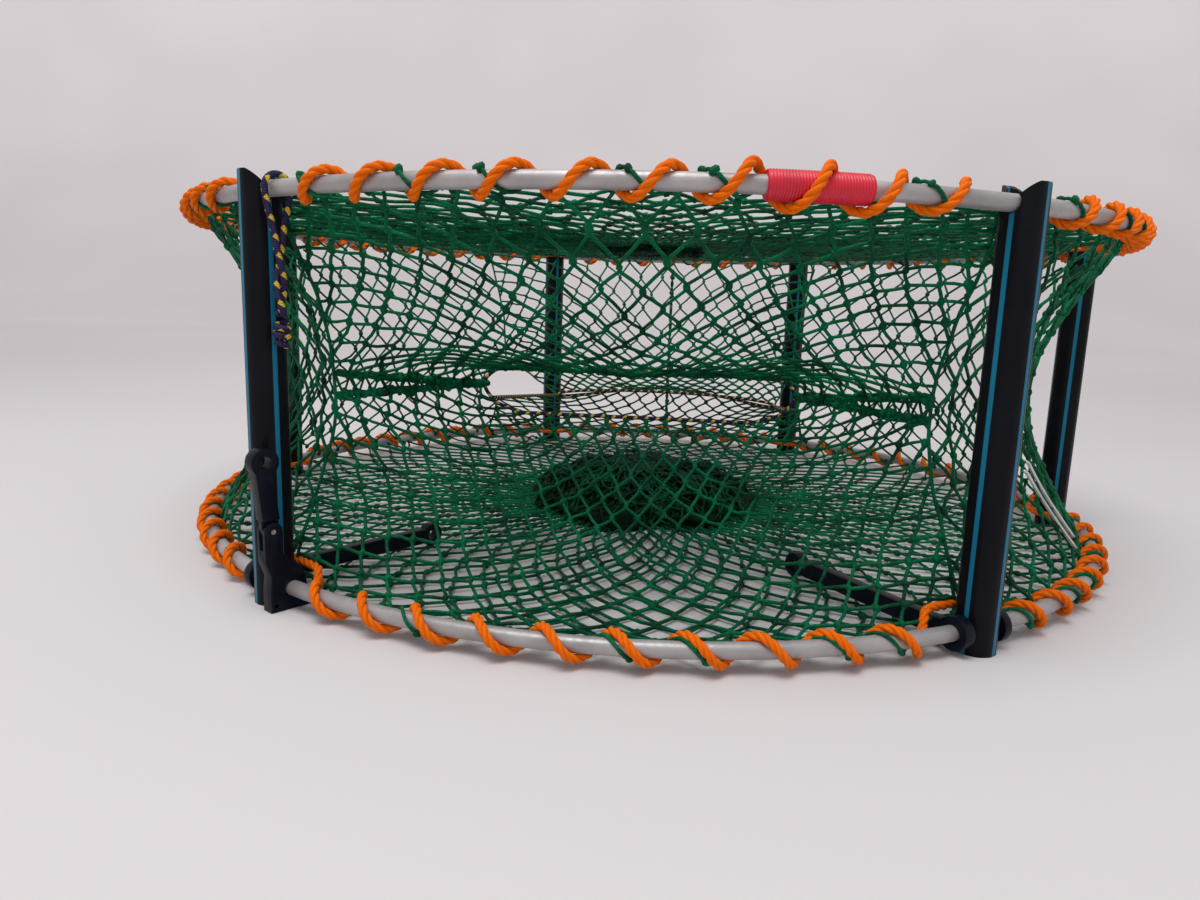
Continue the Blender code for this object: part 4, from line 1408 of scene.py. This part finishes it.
class CRABTRAP_OT_stage(bpy.types.Operator):
    """Sets the pale floor and backdrop, the soft light and the camera"""

    bl_idname = "crabtrap.stage"
    bl_label = "Stage"

    def backdrop(self, size):
        """A floor that curves up into a wall behind the trap."""
        deselect()
        bpy.ops.mesh.primitive_plane_add(size=size, location=(0, 0, 0))
        floor = bpy.context.object
        floor.name = "floor"
        only(floor)
        bpy.ops.object.mode_set(mode="EDIT")
        bpy.ops.mesh.select_all(action="DESELECT")
        bpy.ops.mesh.select_mode(type="EDGE")
        bpy.ops.object.mode_set(mode="OBJECT")
        for edge in floor.data.edges:
            edge.select = all(floor.data.vertices[index].co.y > 0 for index in edge.vertices)
        bpy.ops.object.mode_set(mode="EDIT")
        bpy.ops.mesh.extrude_region_move(TRANSFORM_OT_translate={"value": (0, 0, size / 2)})
        bpy.ops.object.mode_set(mode="OBJECT")
        bevel(floor, size / 5, 16, 30)
        bpy.ops.object.shade_smooth()
        return floor

    def paper(self, colour):
        """Pale paper with painted light: painted brighter towards the back, where less light falls on it, and
        given a painted glow, seen only by the camera, on the backdrop above the trap.
        """
        finish = Finish("pale_floor", roughness=0.75, emission_strength=1.0)
        clouds = finish.noise(0.6, detail=2.0)
        _, away, up = finish.parts(finish.place())
        # Painted light: the paper is painted up to 1.45 times as bright towards the back
        tone = finish.blend(away, 0.6, 3.6, colour, shade(colour, 1.45))
        # A painted glow, seen only by the camera, that grows with height on the backdrop
        seen = finish.node("LightPath") * finish.ramp(up, 0.3, 2.3)
        finish.set(emission_color=finish.mix(seen, (0, 0, 0), (0.12, 0.116, 0.118)))
        finish.set(base_color=finish.mix(finish.ramp(clouds, 0.3, 0.7) * 0.3, tone, shade(colour, 0.96)))
        return finish.material

    def sky(self, strength):
        world = bpy.data.worlds.new("studio")
        bpy.context.scene.world = world
        world.use_nodes = True
        shader = world.node_tree.nodes["Background"]
        shader.inputs["Color"].default_value = (1.0, 0.985, 0.99, 1.0)
        shader.inputs["Strength"].default_value = strength

    def lamp(self, place, target, size, power):
        data = bpy.data.lights.new("key", "AREA")
        data.shape = "DISK"
        data.size = size
        data.energy = power
        lamp = added("key", data)
        lamp.location = place
        lamp.rotation_euler = (Vector(target) - Vector(place)).to_track_quat("-Z", "Y").to_euler()

    def camera(self):
        data = bpy.data.cameras.new("camera")
        data.sensor_width = CAMERA_SENSOR
        data.lens = CAMERA_LENS
        data.clip_start = 0.01
        right, up = Vector(CAMERA_RIGHT).normalized(), Vector(CAMERA_UP).normalized()
        turn = Matrix((right, up, right.cross(up))).transposed().to_4x4()
        camera = added("camera", data)
        camera.matrix_world = Matrix.Translation(CAMERA_PLACE) @ turn
        bpy.context.scene.camera = camera

    def execute(self, context):
        settings = context.scene.crab_stage
        self.camera()
        floor = self.backdrop(settings.floor_size)
        floor.data.materials.append(self.paper(tuple(settings.floor_colour)))
        self.sky(settings.sky_strength)
        self.lamp((-0.3, -0.8, 2.5), (0, 0, 0.1), 1.6, settings.lamp_power)
        context.scene.view_settings.view_transform = "Standard"
        return {"FINISHED"}


SETTINGS = {
    "crab_net": NettingSettings,
    "crab_rope": RopeSettings,
    "crab_frame": FrameSettings,
    "crab_stage": StageSettings,
}
OPERATORS = (
    CRABTRAP_OT_stage,
    CRABTRAP_OT_loop,
    CRABTRAP_OT_mouth_ropes,
    CRABTRAP_OT_rings,
    CRABTRAP_OT_struts,
    CRABTRAP_OT_lashings,
    CRABTRAP_OT_sleeve,
    CRABTRAP_OT_walls,
    CRABTRAP_OT_funnels,
    CRABTRAP_OT_round_nets,
    CRABTRAP_OT_gathers,
    CRABTRAP_OT_hangers,
    CRABTRAP_OT_seam,
    CRABTRAP_OT_fittings,
    CRABTRAP_OT_wires,
)


class CRABTRAP_PT_panel(bpy.types.Panel):
    bl_label = "Crab Trap"
    bl_idname = "CRABTRAP_PT_panel"
    bl_space_type = "VIEW_3D"
    bl_region_type = "UI"
    bl_category = "Crab Trap"

    def draw(self, context):
        column = self.layout.column()
        for operator in OPERATORS:
            column.operator(operator.bl_idname)
        for group, settings in SETTINGS.items():
            for name in settings.__annotations__:
                column.prop(getattr(context.scene, group), name)


def register():
    for name, group in SETTINGS.items():
        bpy.utils.register_class(group)
        setattr(bpy.types.Scene, name, PointerProperty(type=group))
    for kind in (*OPERATORS, CRABTRAP_PT_panel):
        bpy.utils.register_class(kind)


def unregister():
    for kind in (CRABTRAP_PT_panel, *reversed(OPERATORS)):
        bpy.utils.unregister_class(kind)
    for name, group in SETTINGS.items():
        delattr(bpy.types.Scene, name)
        bpy.utils.unregister_class(group)


def main():
    register()
    for operator in OPERATORS:
        group, name = operator.bl_idname.split(".")
        getattr(getattr(bpy.ops, group), name)()


if __name__ == "__main__":
    main()
